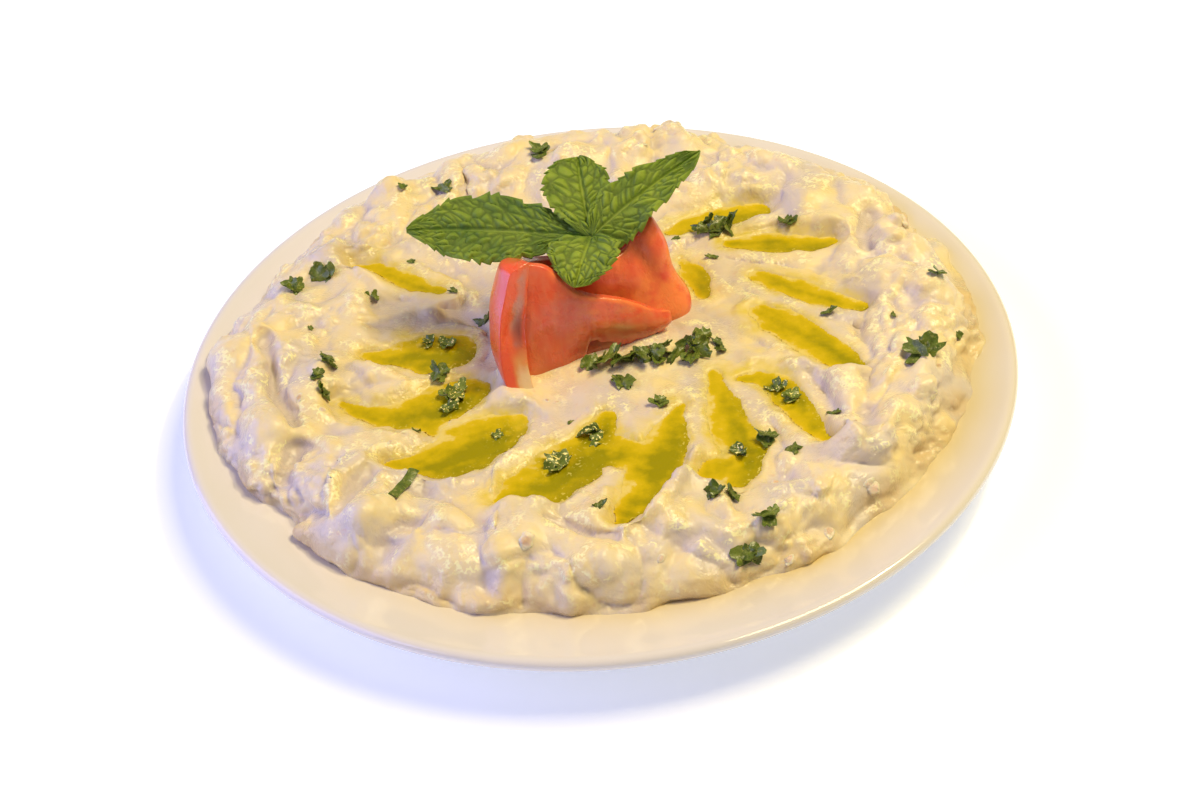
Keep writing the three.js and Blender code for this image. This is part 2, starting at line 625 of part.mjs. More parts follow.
/** Thin wavy blade from the sprig's joint to its tip. */
function leafSolid(leaf) {
  const joint = new THREE.Vector3(...SPRIG_JOINT);
  const midrib = new THREE.QuadraticBezierCurve3(
    joint,
    new THREE.Vector3(...leaf.middle).multiplyScalar(2).sub(joint.clone()
      .add(new THREE.Vector3(...leaf.tip)).multiplyScalar(0.5)),
    new THREE.Vector3(...leaf.tip),
  );
  const place = (i, j, side) => {
    const share = i / LEAF_ROWS;
    const centre = midrib.getPoint(share);
    const tangent = midrib.getTangent(share);
    const across = new THREE.Vector3(...leaf.side);
    across.addScaledVector(tangent, -across.dot(tangent)).normalize();
    const normal = across.clone().cross(tangent).normalize();
    if (normal.z < 0) normal.negate();
    const offset = (2 * j) / LEAF_COLUMNS - 1;
    const half = bladeHalf(leaf, i);
    const turn = i * LEAF_WAVE.perRow + LEAF_WAVE.phase * Math.sign(offset);
    const wave = LEAF_WAVE.height * Math.abs(offset) * Math.sin(turn);
    const rise = leaf.fold * half * Math.abs(offset) + wave + (side * LEAF_THICKNESS) / 2;
    return centre.addScaledVector(across, half * offset).addScaledVector(normal, rise).toArray();
  };
  return toSolid(slab(LEAF_ROWS, LEAF_COLUMNS, (i, j) => place(i, j, 1), (i, j) => place(i, j, -1)));
}

function stemSolid() {
  const section = new THREE.Shape();
  section.absarc(0, 0, STEM_RADIUS, 0, 2 * Math.PI);
  const [x, y, z] = SPRIG_JOINT;
  const sunk = 4;
  const lean = 1.5;
  const route = new THREE.CatmullRomCurve3([
    new THREE.Vector3(x - lean, y + lean, MIDDLE_LEVEL - sunk),
    new THREE.Vector3(x - lean / 3, y + lean / 2, mix(MIDDLE_LEVEL, z, 0.5)),
    new THREE.Vector3(x, y, z + LEAF_THICKNESS / 2),
  ]);
  const stem = new THREE.ExtrudeGeometry(section, {
    curveSegments: STEM_SIDES / 2, steps: 4, extrudePath: route,
  });
  return toSolid(stem);
}

// ----------------------------------------------------------------------- assembly

function buildPieces() {
  const random = seededRandom(FLAKE_SEED);
  const bareMound = toSolid(moundGeometry());
  let dip = POOLS.reduce((solid, pool) => solid.subtract(poolSolid(pool, { top: ABOVE_ALL })), bareMound);
  const dipSurface = surfaceOf(toGeometry(dip));
  const lifted = dip.translate([0, 0, GAP]);

  const lying = DIP_FLAKES.map((flake) => ({ flake, lift: 0 }));
  const heaped = FLAKE_HEAPS.flatMap((heap) => heapFlakes(heap, random));
  const grow = GAP + POOL_EDGE_CLEAR;
  const aroundPools = POOLS.map((pool) => poolSolid(pool, { top: ABOVE_ALL, grow }));
  for (const { flake, lift } of [...lying, ...heaped]) {
    const cut = aroundPools.reduce((solid, pool) => solid.subtract(pool),
      flakeSolid(flake, dipSurface, random, lift));
    dip = dip.add(cut);
  }

  const oils = POOLS.map((pool) => {
    const level = LEVELS.get(pool.name);
    let oil = poolSolid(pool, { inset: GAP });
    for (const [name, flake] of OIL_FLAKES) {
      if (name === pool.name) oil = oil.add(flakeSolid(flake, () => level, random));
    }
    return [pool.name, oil];
  });

  const strips = TOMATO_STRIPS.map((strip) => [strip.name, mainBody(stripSolid(strip).subtract(lifted))]);
  const sprig = MINT_LEAVES.reduce((solid, leaf) => solid.add(leafSolid(leaf)), stemSolid());
  return {
    dip: mainBody(dip),
    oils,
    strips,
    sprig: mainBody(sprig.subtract(lifted)),
  };
}

const FINISHES = {
  plate: new THREE.MeshStandardMaterial({ color: 0xf4ecdc, roughness: 0.12, metalness: 0 }),
  dip: new THREE.MeshStandardMaterial({ color: 0xf6e6c8, roughness: 0.4, metalness: 0 }),
  oil: new THREE.MeshStandardMaterial({ color: 0xb9a513, roughness: 0.08, metalness: 0 }),
  tomato: new THREE.MeshStandardMaterial({ color: 0xd8482a, roughness: 0.25, metalness: 0 }),
  mint: new THREE.MeshStandardMaterial({ color: 0x47812f, roughness: 0.5, metalness: 0 }),
};

function namedMesh(name, geometry, finish) {
  const mesh = new THREE.Mesh(geometry, FINISHES[finish]);
  mesh.name = name;
  return mesh;
}

function buildPlatedDip() {
  const group = new THREE.Group();
  const pieces = buildPieces();
  group.add(namedMesh('plate', plateGeometry(), 'plate'));
  group.add(namedMesh('dip', toGeometry(pieces.dip), 'dip'));
  for (const [name, solid] of pieces.oils) group.add(namedMesh(name, toGeometry(solid), 'oil'));
  for (const [name, solid] of pieces.strips) group.add(namedMesh(name, toGeometry(solid), 'tomato'));
  group.add(namedMesh('mint_sprig', toGeometry(pieces.sprig), 'mint'));
  return group;
}

export default buildPlatedDip();
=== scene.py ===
"""Creamy aubergine dip on a shallow round plate, in a small studio.

The dip carries pools of olive oil in its spoon marks, chopped parsley, a rose of curled
tomato strips and a sprig of mint. Sizes in the classes are millimetres in the part's own
frame: +Z up, the diner who faces the plate looks along +Y. Meshes are written in metres.
"""

from __future__ import annotations

import logging
import math
from dataclasses import dataclass, field
from enum import Enum
from typing import Callable

import bpy
import numpy as np
from mathutils import Matrix, Vector, noise
from mathutils.bvhtree import BVHTree

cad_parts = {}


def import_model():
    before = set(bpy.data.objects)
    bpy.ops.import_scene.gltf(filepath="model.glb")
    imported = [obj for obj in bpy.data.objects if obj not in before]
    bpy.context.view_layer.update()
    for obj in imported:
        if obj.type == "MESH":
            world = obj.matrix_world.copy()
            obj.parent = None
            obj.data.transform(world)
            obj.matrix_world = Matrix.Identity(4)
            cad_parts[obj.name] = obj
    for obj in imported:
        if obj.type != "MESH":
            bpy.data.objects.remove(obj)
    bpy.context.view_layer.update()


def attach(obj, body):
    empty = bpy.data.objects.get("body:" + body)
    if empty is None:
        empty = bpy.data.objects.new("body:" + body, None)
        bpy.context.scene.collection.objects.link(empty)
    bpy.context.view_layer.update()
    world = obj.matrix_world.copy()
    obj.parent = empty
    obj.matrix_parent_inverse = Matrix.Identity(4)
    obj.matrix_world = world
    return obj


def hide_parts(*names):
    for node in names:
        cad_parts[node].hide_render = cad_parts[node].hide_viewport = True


LOG = logging.getLogger("plated_dip")

# Metres in a millimetre, the dip's height above the plate at its foot in millimetres, and
# a whole turn in radians as the random draws take it.
MM = 0.001
GAP = 0.3
ROUGH_TURN = 6.28

Array = np.ndarray
Values = np.ndarray | float
Pair = tuple[float, float]
Place = tuple[float, float, float]
Colour = tuple[float, float, float]
Station = tuple[float, ...]
Row = tuple[float, ...]
Piece = bpy.types.Object
Socket = bpy.types.NodeSocket


# ---------------- small maths


def mix(low: Values, high: Values, share: Values) -> Values:
    """Blend of two values."""
    return low + (high - low) * share


def smooth_step(low: float, high: float, value: Values) -> Values:
    """Share from 0 at low to 1 at high, level at both ends."""
    share = np.clip((value - low) / (high - low), 0.0, 1.0)
    return share * share * (3.0 - 2.0 * share)


def turn_between(start: float, end: Array) -> Array:
    """Degrees between two directions, from -180 to 180."""
    return (end - start + 180.0) % 360.0 - 180.0


def bell(away: Values, width: float) -> Values:
    """Share that falls from 1 in the middle, and is 0.37 a width away from it."""
    return np.exp(-((away / width) ** 2))


class Draws:
    """Park-Miller generator: the same draws on every run."""

    def __init__(self, seed: int) -> None:
        """Start the row of draws at a seed."""
        self.state = seed

    def next(self) -> float:
        """Next draw, from 0 to 1."""
        self.state = (self.state * 48271) % 2147483647
        return self.state / 2147483647

    def between(self, low: float, high: float) -> float:
        """Next draw, from low to high."""
        return mix(low, high, self.next())


def along_stations(stations: list[Station], share: Array) -> Array:
    """Smooth line through stations of equal length.

    Args:
        stations: The values at each station.
        share: Where to read the line, from 0 to 1.

    Returns:
        One row of values for each share.
    """
    table = np.array(stations, float)
    last = len(stations) - 1
    index = np.minimum(last - 1, np.floor(share * last).astype(int))
    local = (share * last - index)[:, None]
    before = table[np.maximum(0, index - 1)]
    start, end = table[index], table[index + 1]
    after = table[np.minimum(last, index + 2)]
    slope_in, slope_out = (end - before) / 2, (after - start) / 2
    cube, square = local**3, local**2
    return (
        start * (2 * cube - 3 * square + 1)
        + slope_in * (cube - 2 * square + local)
        + end * (3 * square - 2 * cube)
        + slope_out * (cube - square)
    )


def from_segment(start: Row, end: Row, x: Array, y: Array) -> tuple[Array, Array]:
    """Distance of places to a straight stretch of a line.

    Args:
        start: The stretch's start; its first two values are x and y.
        end: The stretch's end.
        x: Places along X.
        y: Places along Y.

    Returns:
        The distances, and how far along the stretch the nearest point lies, from 0 to 1.
    """
    run_x, run_y = end[0] - start[0], end[1] - start[1]
    along = ((x - start[0]) * run_x + (y - start[1]) * run_y) / (run_x**2 + run_y**2)
    along = np.clip(along, 0.0, 1.0)
    return np.hypot(x - start[0] - run_x * along, y - start[1] - run_y * along), along


def polyline_distance(line: list[Pair], x: Array, y: Array) -> tuple[Array, Array]:
    """Distance to a line of points, and the side on which each place lies.

    Args:
        line: The points of the line.
        x: Places along X.
        y: Places along Y.

    Returns:
        The distances, and 1 on the line's right or -1 on its left.
    """
    nearest = np.full(x.shape, np.inf)
    side = np.ones(x.shape)
    for start, end in zip(line, line[1:]):
        away, _ = from_segment(start, end, x, y)
        closer = away < nearest
        turn = (end[1] - start[1]) * (x - start[0]) - (end[0] - start[0]) * (y - start[1])
        side = np.where(closer, np.where(turn >= 0, 1.0, -1.0), side)
        nearest = np.where(closer, away, nearest)
    return nearest, side


def noise_at(points: Array, size: float, offset: float = 0.0) -> Array:
    """Smooth noise from -1 to 1 whose bumps are about that size.

    Args:
        points: Places in millimetres, one row each.
        size: Distance between bumps.
        offset: Moves the pattern, so that two layers differ.

    Returns:
        One value for each place.
    """
    shift = Vector((offset, offset * 0.7, offset * 1.3))
    return np.array([noise.noise(Vector(p) / size + shift) for p in points])


def layered(points: Array, layers: tuple[Row, ...]) -> Array:
    """Sum of layers of noise, each a row of (size, shift, strength)."""
    return sum(strength * noise_at(points, size, shift) for size, shift, strength in layers)


@dataclass(frozen=True)
class Patches:
    """Patches of noise: their size, their shift, where they start and where they are full."""

    size: float
    shift: float
    start: float
    full: float
    squeeze: Place = (1, 1, 1)

    def at(self, points: Array) -> Array:
        """Share from 0 to 1 at each place."""
        return smooth_step(self.start, self.full, noise_at(points * self.squeeze, self.size, self.shift))


def pillows_at(points: Array, size: float, offset: float = 0.0) -> Array:
    """Round pillows from 0 to 1 with narrow creases between them."""
    return np.abs(noise_at(points, size, offset)) ** 0.75


def blurred(grid: Array, reach: int) -> Array:
    """Mean of a square grid's values in a window round each of them.

    Args:
        grid: The values, in rows and columns.
        reach: How many cells the window reaches each way.

    Returns:
        The means, in the same rows and columns.
    """
    count = len(grid)
    for axis in (0, 1):
        ends = [(reach + 1, reach) if axis == side else (0, 0) for side in (0, 1)]
        sums = np.cumsum(np.pad(grid, ends, mode="edge"), axis)
        ahead = np.take(sums, np.arange(count) + 2 * reach + 1, axis)
        grid = (ahead - np.take(sums, np.arange(count), axis)) / (2 * reach + 1)
    return grid


def pulp_at(points: Array, size: float, offset: float = 0.0) -> Array:
    """Packed round grains from 0 between them to 1 on their tops.

    Args:
        points: Places in millimetres, one row each.
        size: Distance between grains.
        offset: Moves the pattern.

    Returns:
        One value for each place.
    """
    shift = Vector((offset, offset, offset))
    near = np.array([noise.voronoi(Vector(p) / size + shift)[0][0] for p in points])
    return np.clip(1.0 - near**2 * 2.2, 0.0, 1.0)


# ---------------- mesh helpers


def deselect() -> None:
    """Leave edit mode and deselect every object."""
    if bpy.context.object and bpy.context.object.mode != "OBJECT":
        leave_edit()
    bpy.ops.object.select_all(action="DESELECT")


class Elements(Enum):
    """What a selection in edit mode is made of."""

    CORNERS = "VERT"
    EDGES = "EDGE"
    FACES = "FACE"


def edit(elements: Elements | None = None, everything: bool | None = None) -> None:
    """Enter edit mode on the active piece.

    Args:
        elements: The kind of selection, where it has to change.
        everything: Whether all or nothing of the piece is selected, where it matters.
    """
    bpy.ops.object.mode_set(mode="EDIT")
    if elements:
        bpy.ops.mesh.select_mode(type=elements.value)
    if everything is not None:
        bpy.ops.mesh.select_all(action="SELECT" if everything else "DESELECT")


def leave_edit() -> None:
    """Go back to object mode."""
    bpy.ops.object.mode_set(mode="OBJECT")


def activate(piece: Piece) -> None:
    """Select one object alone and make it the active one.

    Args:
        piece: The object.
    """
    deselect()
    piece.select_set(True)
    bpy.context.view_layer.objects.active = piece


def read_points(piece: Piece) -> Array:
    """Vertices of a mesh, one row each.

    Args:
        piece: The mesh.

    Returns:
        Their places in metres.
    """
    flat = np.empty(len(piece.data.vertices) * 3)
    piece.data.vertices.foreach_get("co", flat)
    return flat.reshape(-1, 3)


def write_points(piece: Piece, points: Array) -> None:
    """Move a mesh's vertices to these places."""
    piece.data.vertices.foreach_set("co", np.ascontiguousarray(points).ravel())
    piece.data.update()


def store(piece: Piece, name: str, values: Array) -> None:
    """Keep one number for each vertex under a name that materials can read.

    Args:
        piece: The mesh.
        name: The numbers' name.
        values: One number for each vertex.
    """
    attribute = piece.data.attributes.get(name)
    if attribute is None:
        attribute = piece.data.attributes.new(name, "FLOAT", "POINT")
    attribute.data.foreach_set("value", values.astype(np.float32))


def fetch(piece: Piece, name: str) -> Array:
    """The numbers that are stored under a name.

    Args:
        piece: The mesh.
        name: Their name.

    Returns:
        One number for each vertex.
    """
    values = np.empty(len(piece.data.vertices), np.float32)
    piece.data.attributes[name].data.foreach_get("value", values)
    return values.astype(float)


def picked(piece: Piece) -> Array:
    """Which vertices are selected.

    Args:
        piece: The mesh.

    Returns:
        One flag for each vertex.
    """
    flags = np.empty(len(piece.data.vertices), bool)
    piece.data.vertices.foreach_get("select", flags)
    return flags


def pick_faces(piece: Piece, flags: Array) -> None:
    """Select these faces alone and stay in edit mode.

    Args:
        piece: The mesh.
        flags: One flag for each face.
    """
    activate(piece)
    edit(Elements.FACES, everything=False)
    leave_edit()
    piece.data.polygons.foreach_set("select", flags)
    edit()


def shade_smooth(piece: Piece, angle: float | None = None) -> None:
    """Smooth a piece's shading.

    Args:
        piece: The piece.
        angle: Edges that turn further, in degrees, stay sharp.
    """
    activate(piece)
    if angle is None:
        bpy.ops.object.shade_smooth()
    else:
        bpy.ops.object.shade_smooth_by_angle(angle=math.radians(angle))


def apply_modifiers(piece: Piece) -> None:
    """Apply all of a piece's modifiers to its mesh.

    Args:
        piece: The piece.
    """
    activate(piece)
    for modifier in list(piece.modifiers):
        bpy.ops.object.modifier_apply(modifier=modifier.name)


def round_off(piece: Piece) -> None:
    """Divide a piece's faces once, rounding it, and smooth its shading.

    Args:
        piece: The piece.
    """
    smooth = piece.modifiers.new("smooth", "SUBSURF")
    smooth.levels = smooth.render_levels = 1
    apply_modifiers(piece)
    shade_smooth(piece)


def face_outwards(piece: Piece) -> None:
    """Turn every face of a closed piece outwards.

    Args:
        piece: The piece.
    """
    activate(piece)
    edit(everything=True)
    bpy.ops.mesh.normals_make_consistent(inside=False)
    leave_edit()


def join(pieces: list[Piece], name: str) -> Piece:
    """Join meshes into one piece with a new name.

    Args:
        pieces: The meshes.
        name: The whole's name.

    Returns:
        The whole.
    """
    deselect()
    for piece in pieces:
        piece.select_set(True)
    bpy.context.view_layer.objects.active = pieces[0]
    if len(pieces) > 1:
        bpy.ops.object.join()
    whole = bpy.context.object
    whole.name = whole.data.name = name
    return whole


def add_grid(name: str, rows: int, columns: int) -> Piece:
    """Flat grid from -1 to 1 both ways, whose vertices are then placed.

    Args:
        name: The piece's name.
        rows: Cells along Y.
        columns: Cells along X.

    Returns:
        The grid.
    """
    deselect()
    bpy.ops.mesh.primitive_grid_add(x_subdivisions=columns, y_subdivisions=rows, size=2.0)
    piece = bpy.context.object
    piece.name = piece.data.name = name
    return piece


def add_shell(
    name: str,
    rows: int,
    columns: int,
    face: Callable[[Array, Array, float], Array],
    layers: int = 1,
) -> Piece:
    """Closed thin solid between two faces that have the same grid.

    Args:
        name: The piece's name.
        rows: Cells along the piece.
        columns: Cells across it.
        face: Places in millimetres for the shares across and along, and for the
            side: 1 on the first face, -1 on the second.
        layers: Cells through its thickness.

    Returns:
        The closed mesh, with its shares stored as across, along and inner.
    """
    piece = add_grid(name, rows, columns)
    flat = read_points(piece)
    across, along = (flat[:, 0] + 1) / 2, (flat[:, 1] + 1) / 2
    store(piece, "across", across)
    store(piece, "along", along)
    store(piece, "inner", np.zeros(len(flat)))
    write_points(piece, face(across, along, 1.0) * MM)
    edit(everything=True)
    for layer in range(1, layers + 1):
        bpy.ops.mesh.extrude_region_move()
        leave_edit()
        moved = picked(piece)
        points = read_points(piece)
        across, along, inner = (fetch(piece, key) for key in ("across", "along", "inner"))
        points[moved] = face(across[moved], along[moved], 1.0 - 2.0 * layer / layers) * MM
        inner[moved] = layer / layers
        write_points(piece, points)
        store(piece, "inner", inner)
        edit()
    face_outwards(piece)
    return piece


# ---------------- materials


class NodeTree:
    """A tree of shader nodes, which are added and joined in a few words."""

    def __init__(self, tree: bpy.types.NodeTree) -> None:
        """Take the tree that the nodes go into."""
        self.tree = tree

    def add(self, kind: str, inputs: dict | None = None, **settings: object) -> bpy.types.Node:
        """Add a node.

        Args:
            kind: The node's type, without its ShaderNode beginning.
            inputs: What each input holds: a number, a colour or a socket.
            settings: The node's own settings.

        Returns:
            The new node.
        """
        node = self.tree.nodes.new("ShaderNode" + kind)
        for key, value in settings.items():
            setattr(node, key, value)
        for key, value in (inputs or {}).items():
            self.feed(node.inputs[key], value)
        return node

    def feed(self, socket: Socket, value: object) -> None:
        """Put a number or colour in an input, or join a socket to it.

        Args:
            socket: The input.
            value: The number, the colour or the socket.
        """
        if isinstance(value, Socket):
            self.tree.links.new(value, socket)
        elif isinstance(value, tuple) and len(value) == 3 and socket.type == "RGBA":
            socket.default_value = (*value, 1.0)
        else:
            socket.default_value = value

    def span(
        self, value: object, low: float, high: float, to_low: float = 0.0, to_high: float = 1.0
    ) -> Socket:
        """Value mapped from one range to another and held inside it.

        Args:
            value: The value.
            low: Start of its range.
            high: End of its range.
            to_low: Start of the new range.
            to_high: End of the new range.

        Returns:
            The mapped value.
        """
        limits = {"From Min": low, "From Max": high, "To Min": to_low, "To Max": to_high}
        return self.add("MapRange", {"Value": value, **limits}).outputs["Result"]

    def maths(self, operation: str, *values: object) -> Socket:
        """One sum of up to three values.

        Args:
            operation: Blender's name for the sum.
            values: Numbers or sockets.

        Returns:
            The result.
        """
        node = self.add("Math", operation=operation)
        for socket, value in zip(node.inputs, values):
            self.feed(socket, value)
        return node.outputs[0]


class Shader(NodeTree):
    """A material's nodes."""

    def __init__(self, name: str) -> None:
        """Start a material with one Principled shader.

        Args:
            name: The material's name.
        """
        self.material = bpy.data.materials.new(name)
        self.material.use_nodes = True
        super().__init__(self.material.node_tree)
        self.base = self.tree.nodes["Principled BSDF"]

    def set(self, **values: object) -> None:
        """Set or join the Principled shader's inputs, named with _ for spaces."""
        for key, value in values.items():
            self.feed(self.base.inputs[key.replace("_", " ")], value)

    def stored(self, name: str) -> Socket:
        """A number that the mesh keeps for each vertex."""
        return self.add("Attribute", attribute_name=name).outputs["Fac"]

    def place(self) -> Socket:
        """Object coordinates, in metres."""
        return self.add("TexCoord").outputs["Object"]

    def noise(self, size: float, detail: float = 2.0, rough: float = 0.5) -> Socket:
        """Noise from 0 to 1 with bumps of that size in millimetres."""
        inputs = {"Vector": self.place(), "Scale": 1.0 / (size * MM), "Detail": detail, "Roughness": rough}
        return self.add("TexNoise", inputs).outputs["Fac"]

    def blend(self, share: object, first: object, second: object) -> Socket:
        """Mix of two colours.

        Args:
            share: How much of the second colour there is.
            first: The first colour.
            second: The second colour.

        Returns:
            The mixed colour.
        """
        node = self.add("Mix", data_type="RGBA", blend_type="MIX")
        self.feed(node.inputs[0], share)
        self.feed(node.inputs[6], first)
        self.feed(node.inputs[7], second)
        return node.outputs[2]

    def ramp(self, value: object, stops: list[tuple[float, Colour]]) -> Socket:
        """Colour read from a row of stops.

        Args:
            value: Where to read it.
            stops: Positions and colours.

        Returns:
            The colour.
        """
        node = self.add("ValToRGB", {"Fac": value})
        elements = node.color_ramp.elements
        while len(elements) < len(stops):
            elements.new(1.0)
        for element, (position, colour) in zip(elements, stops):
            element.position = position
            element.color = (*colour, 1.0)
        return node.outputs["Color"]

    def wet(self, colour: Socket, **ridges: float) -> None:
        """Give the surface its colour and wet glints.

        Args:
            colour: The colour.
            ridges: Inputs of the glint group, named with _ for spaces.
        """
        glints = self.add("Group", node_tree=glint_group())
        for key, value in ridges.items():
            self.feed(glints.inputs[key.replace("_", " ")], value)
        self.set(Base_Color=colour, Roughness=glints.outputs["Roughness"], Normal=glints.outputs["Normal"])


def glint_group() -> bpy.types.NodeTree:
    """Node group for a wet surface: patches of little sharp ridges that catch glints.

    Returns:
        The group, with the scales of its coarse and fine ridges and of their patches,
        their height and the roughness as inputs, and a normal and a roughness as
        outputs.
    """
    found = bpy.data.node_groups.get("wet glints")
    if found:
        return found
    tree = bpy.data.node_groups.new("wet glints", "ShaderNodeTree")
    for name, default in (
        ("Coarse Scale", 400.0),
        ("Fine Scale", 1500.0),
        ("Patch Scale", 130.0),
        ("Height", 0.0002),
        ("Roughness", 0.3),
        ("Spread", 0.12),
    ):
        socket = tree.interface.new_socket(name, in_out="INPUT", socket_type="NodeSocketFloat")
        socket.default_value = default
    tree.interface.new_socket("Normal", in_out="OUTPUT", socket_type="NodeSocketVector")
    tree.interface.new_socket("Roughness", in_out="OUTPUT", socket_type="NodeSocketFloat")
    nodes = NodeTree(tree)
    given, result = tree.nodes.new("NodeGroupInput").outputs, tree.nodes.new("NodeGroupOutput").inputs
    place = nodes.add("TexCoord").outputs["Object"]
    clouds = [
        nodes.add("TexNoise", {"Vector": place, "Scale": given[name], "Detail": 1.5}).outputs["Fac"]
        for name in ("Coarse Scale", "Fine Scale", "Patch Scale")
    ]
    coarse, fine = (
        nodes.maths("ABSOLUTE", nodes.maths("MULTIPLY_ADD", cloud, 2.0, -1.0)) for cloud in clouds[:2]
    )
    patch = nodes.span(clouds[2], 0.42, 0.58)
    height = nodes.maths("MULTIPLY_ADD", fine, 0.4, coarse)
    height = nodes.maths("MULTIPLY", height, nodes.maths("MULTIPLY_ADD", patch, 0.7, 0.3))
    bump = nodes.add("Bump", {"Distance": given["Height"], "Height": height})
    nodes.feed(result["Normal"], bump.outputs["Normal"])
    dull = nodes.maths("SUBTRACT", 1.0, patch)
    rough = nodes.maths("MULTIPLY_ADD", dull, given["Spread"], given["Roughness"])
    nodes.feed(result["Roughness"], rough)
    return tree


@dataclass(frozen=True)
class GlazeFinish:
    """Smooth cream-white glaze, with a thin oil film along the dip's foot."""

    glaze: Colour = (0.8, 0.77, 0.77)
    film: Colour = (0.75, 0.6, 0.28)
    roughness: float = 0.1

    def material(self) -> bpy.types.Material:
        """Build the glaze.

        Returns:
            The material.
        """
        shader = Shader("cream glaze")
        cloud = shader.noise(30.0, 3.0)
        glaze = shader.blend(cloud, self.glaze, tuple(c * 0.965 for c in self.glaze))
        colour = shader.blend(shader.stored("film"), glaze, self.film)
        rough = shader.span(shader.noise(6.0), 0.0, 1.0, self.roughness * 0.8, self.roughness * 1.4)
        bump = shader.add("Bump", {"Height": shader.noise(9.0), "Distance": 0.00006, "Strength": 0.6})
        shader.set(Base_Color=colour, Roughness=rough, Normal=bump.outputs["Normal"])
        shader.set(Coat_Weight=0.5, Coat_Roughness=0.04)
        return shader.material


@dataclass(frozen=True)
class CreamFinish:
    """Moist pale dip in pale and warm patches, stained by oil, with painted shade in its creases and on its
    lower wall, a painted cool sheen in patches and painted glints on its crests.
    """

    pale: Colour = (0.84, 0.715, 0.49)
    warm: Colour = (0.87, 0.7, 0.34)
    # Painted reflection: a cool lilac sheen laid in patches.
    cool: Colour = (0.64, 0.57, 0.56)
    # Painted shade: the colour laid into the dip's hollows and creases.
    crease: Colour = (0.62, 0.53, 0.51)
    # Painted highlight: the colour of the glint strokes on the crests.
    wet: Colour = (1.0, 0.93, 0.54)
    # Painted shade: tan on the dip's lower wall.
    foot: Colour = (0.68, 0.5, 0.25)
    stain: Colour = (0.74, 0.57, 0.07)
    speck: Colour = (0.7, 0.42, 0.26)

    def material(self) -> bpy.types.Material:
        """Build the dip's surface.

        Returns:
            The material.
        """
        shader = Shader("moist cream dip")
        patches = shader.span(shader.noise(11.0, 4.0, 0.6), 0.36, 0.64)
        cream = shader.blend(patches, self.pale, self.warm)
        # Painted reflection: cool lilac sheen in patches.
        cream = shader.blend(shader.span(shader.noise(16.0, 2.5), 0.5, 0.64, 0.0, 0.7), cream, self.cool)
        # Painted shade in the hollows and creases.
        cream = shader.blend(shader.span(shader.stored("hollow"), 0.0, 1.0, 0.0, 0.8), cream, self.crease)
        # Painted shade on the lower wall.
        cream = shader.blend(shader.stored("foot"), cream, self.foot)
        freckles = shader.span(shader.noise(2.6, 1.0), 0.7, 0.78, 0.0, 0.3)
        cream = shader.blend(freckles, cream, self.speck)
        # Painted highlights: thin glint strokes in groups, mostly on the crests.
        line = shader.maths("ABSOLUTE", shader.span(shader.noise(1.7, 1.5), 0.0, 1.0, -1.0, 1.0))
        painted_glint_strokes = shader.maths(
            "MULTIPLY", shader.span(line, 0.08, 0.25, 1.0, 0.0), shader.span(shader.noise(2.4), 0.46, 0.52)
        )
        painted_glints_on_crests = shader.span(shader.stored("crest"), 0.0, 0.5)
        painted_glint_groups = shader.maths("MULTIPLY", shader.span(shader.noise(9.0, 2.0), 0.46, 0.57), painted_glints_on_crests)
        cream = shader.blend(shader.maths("MULTIPLY", painted_glint_strokes, painted_glint_groups), cream, self.wet)
        wet = shader.span(shader.noise(4.0, 3.0), 0.35, 0.65, 0.5, 1.0)
        stained = shader.maths("MULTIPLY", shader.stored("stain"), wet)
        colour = shader.blend(stained, cream, self.stain)
        shader.wet(
            colour,
            Coarse_Scale=300.0,
            Fine_Scale=900.0,
            Patch_Scale=120.0,
            Height=0.0003,
            Roughness=0.3,
            Spread=0.15,
        )
        shader.set(Subsurface_Weight=0.2, Subsurface_Radius=(1.0, 0.7, 0.4), Subsurface_Scale=0.0018)
        film = [shader.span(shader.noise(size, 1.5), 0.25, 0.75, -1.0, 1.0) for size in (2.0, 0.9)]
        creased = shader.maths("ADD", *(shader.maths("ABSOLUTE", value) for value in film))
        wrinkled = shader.add("Bump", {"Height": creased, "Distance": 0.0007}).outputs["Normal"]
        shader.set(Coat_Weight=shader.span(shader.noise(9.0, 2.0), 0.4, 0.6, 0.15, 0.9))
        shader.set(Coat_Normal=wrinkled, Coat_Roughness=0.14)
        return shader.material


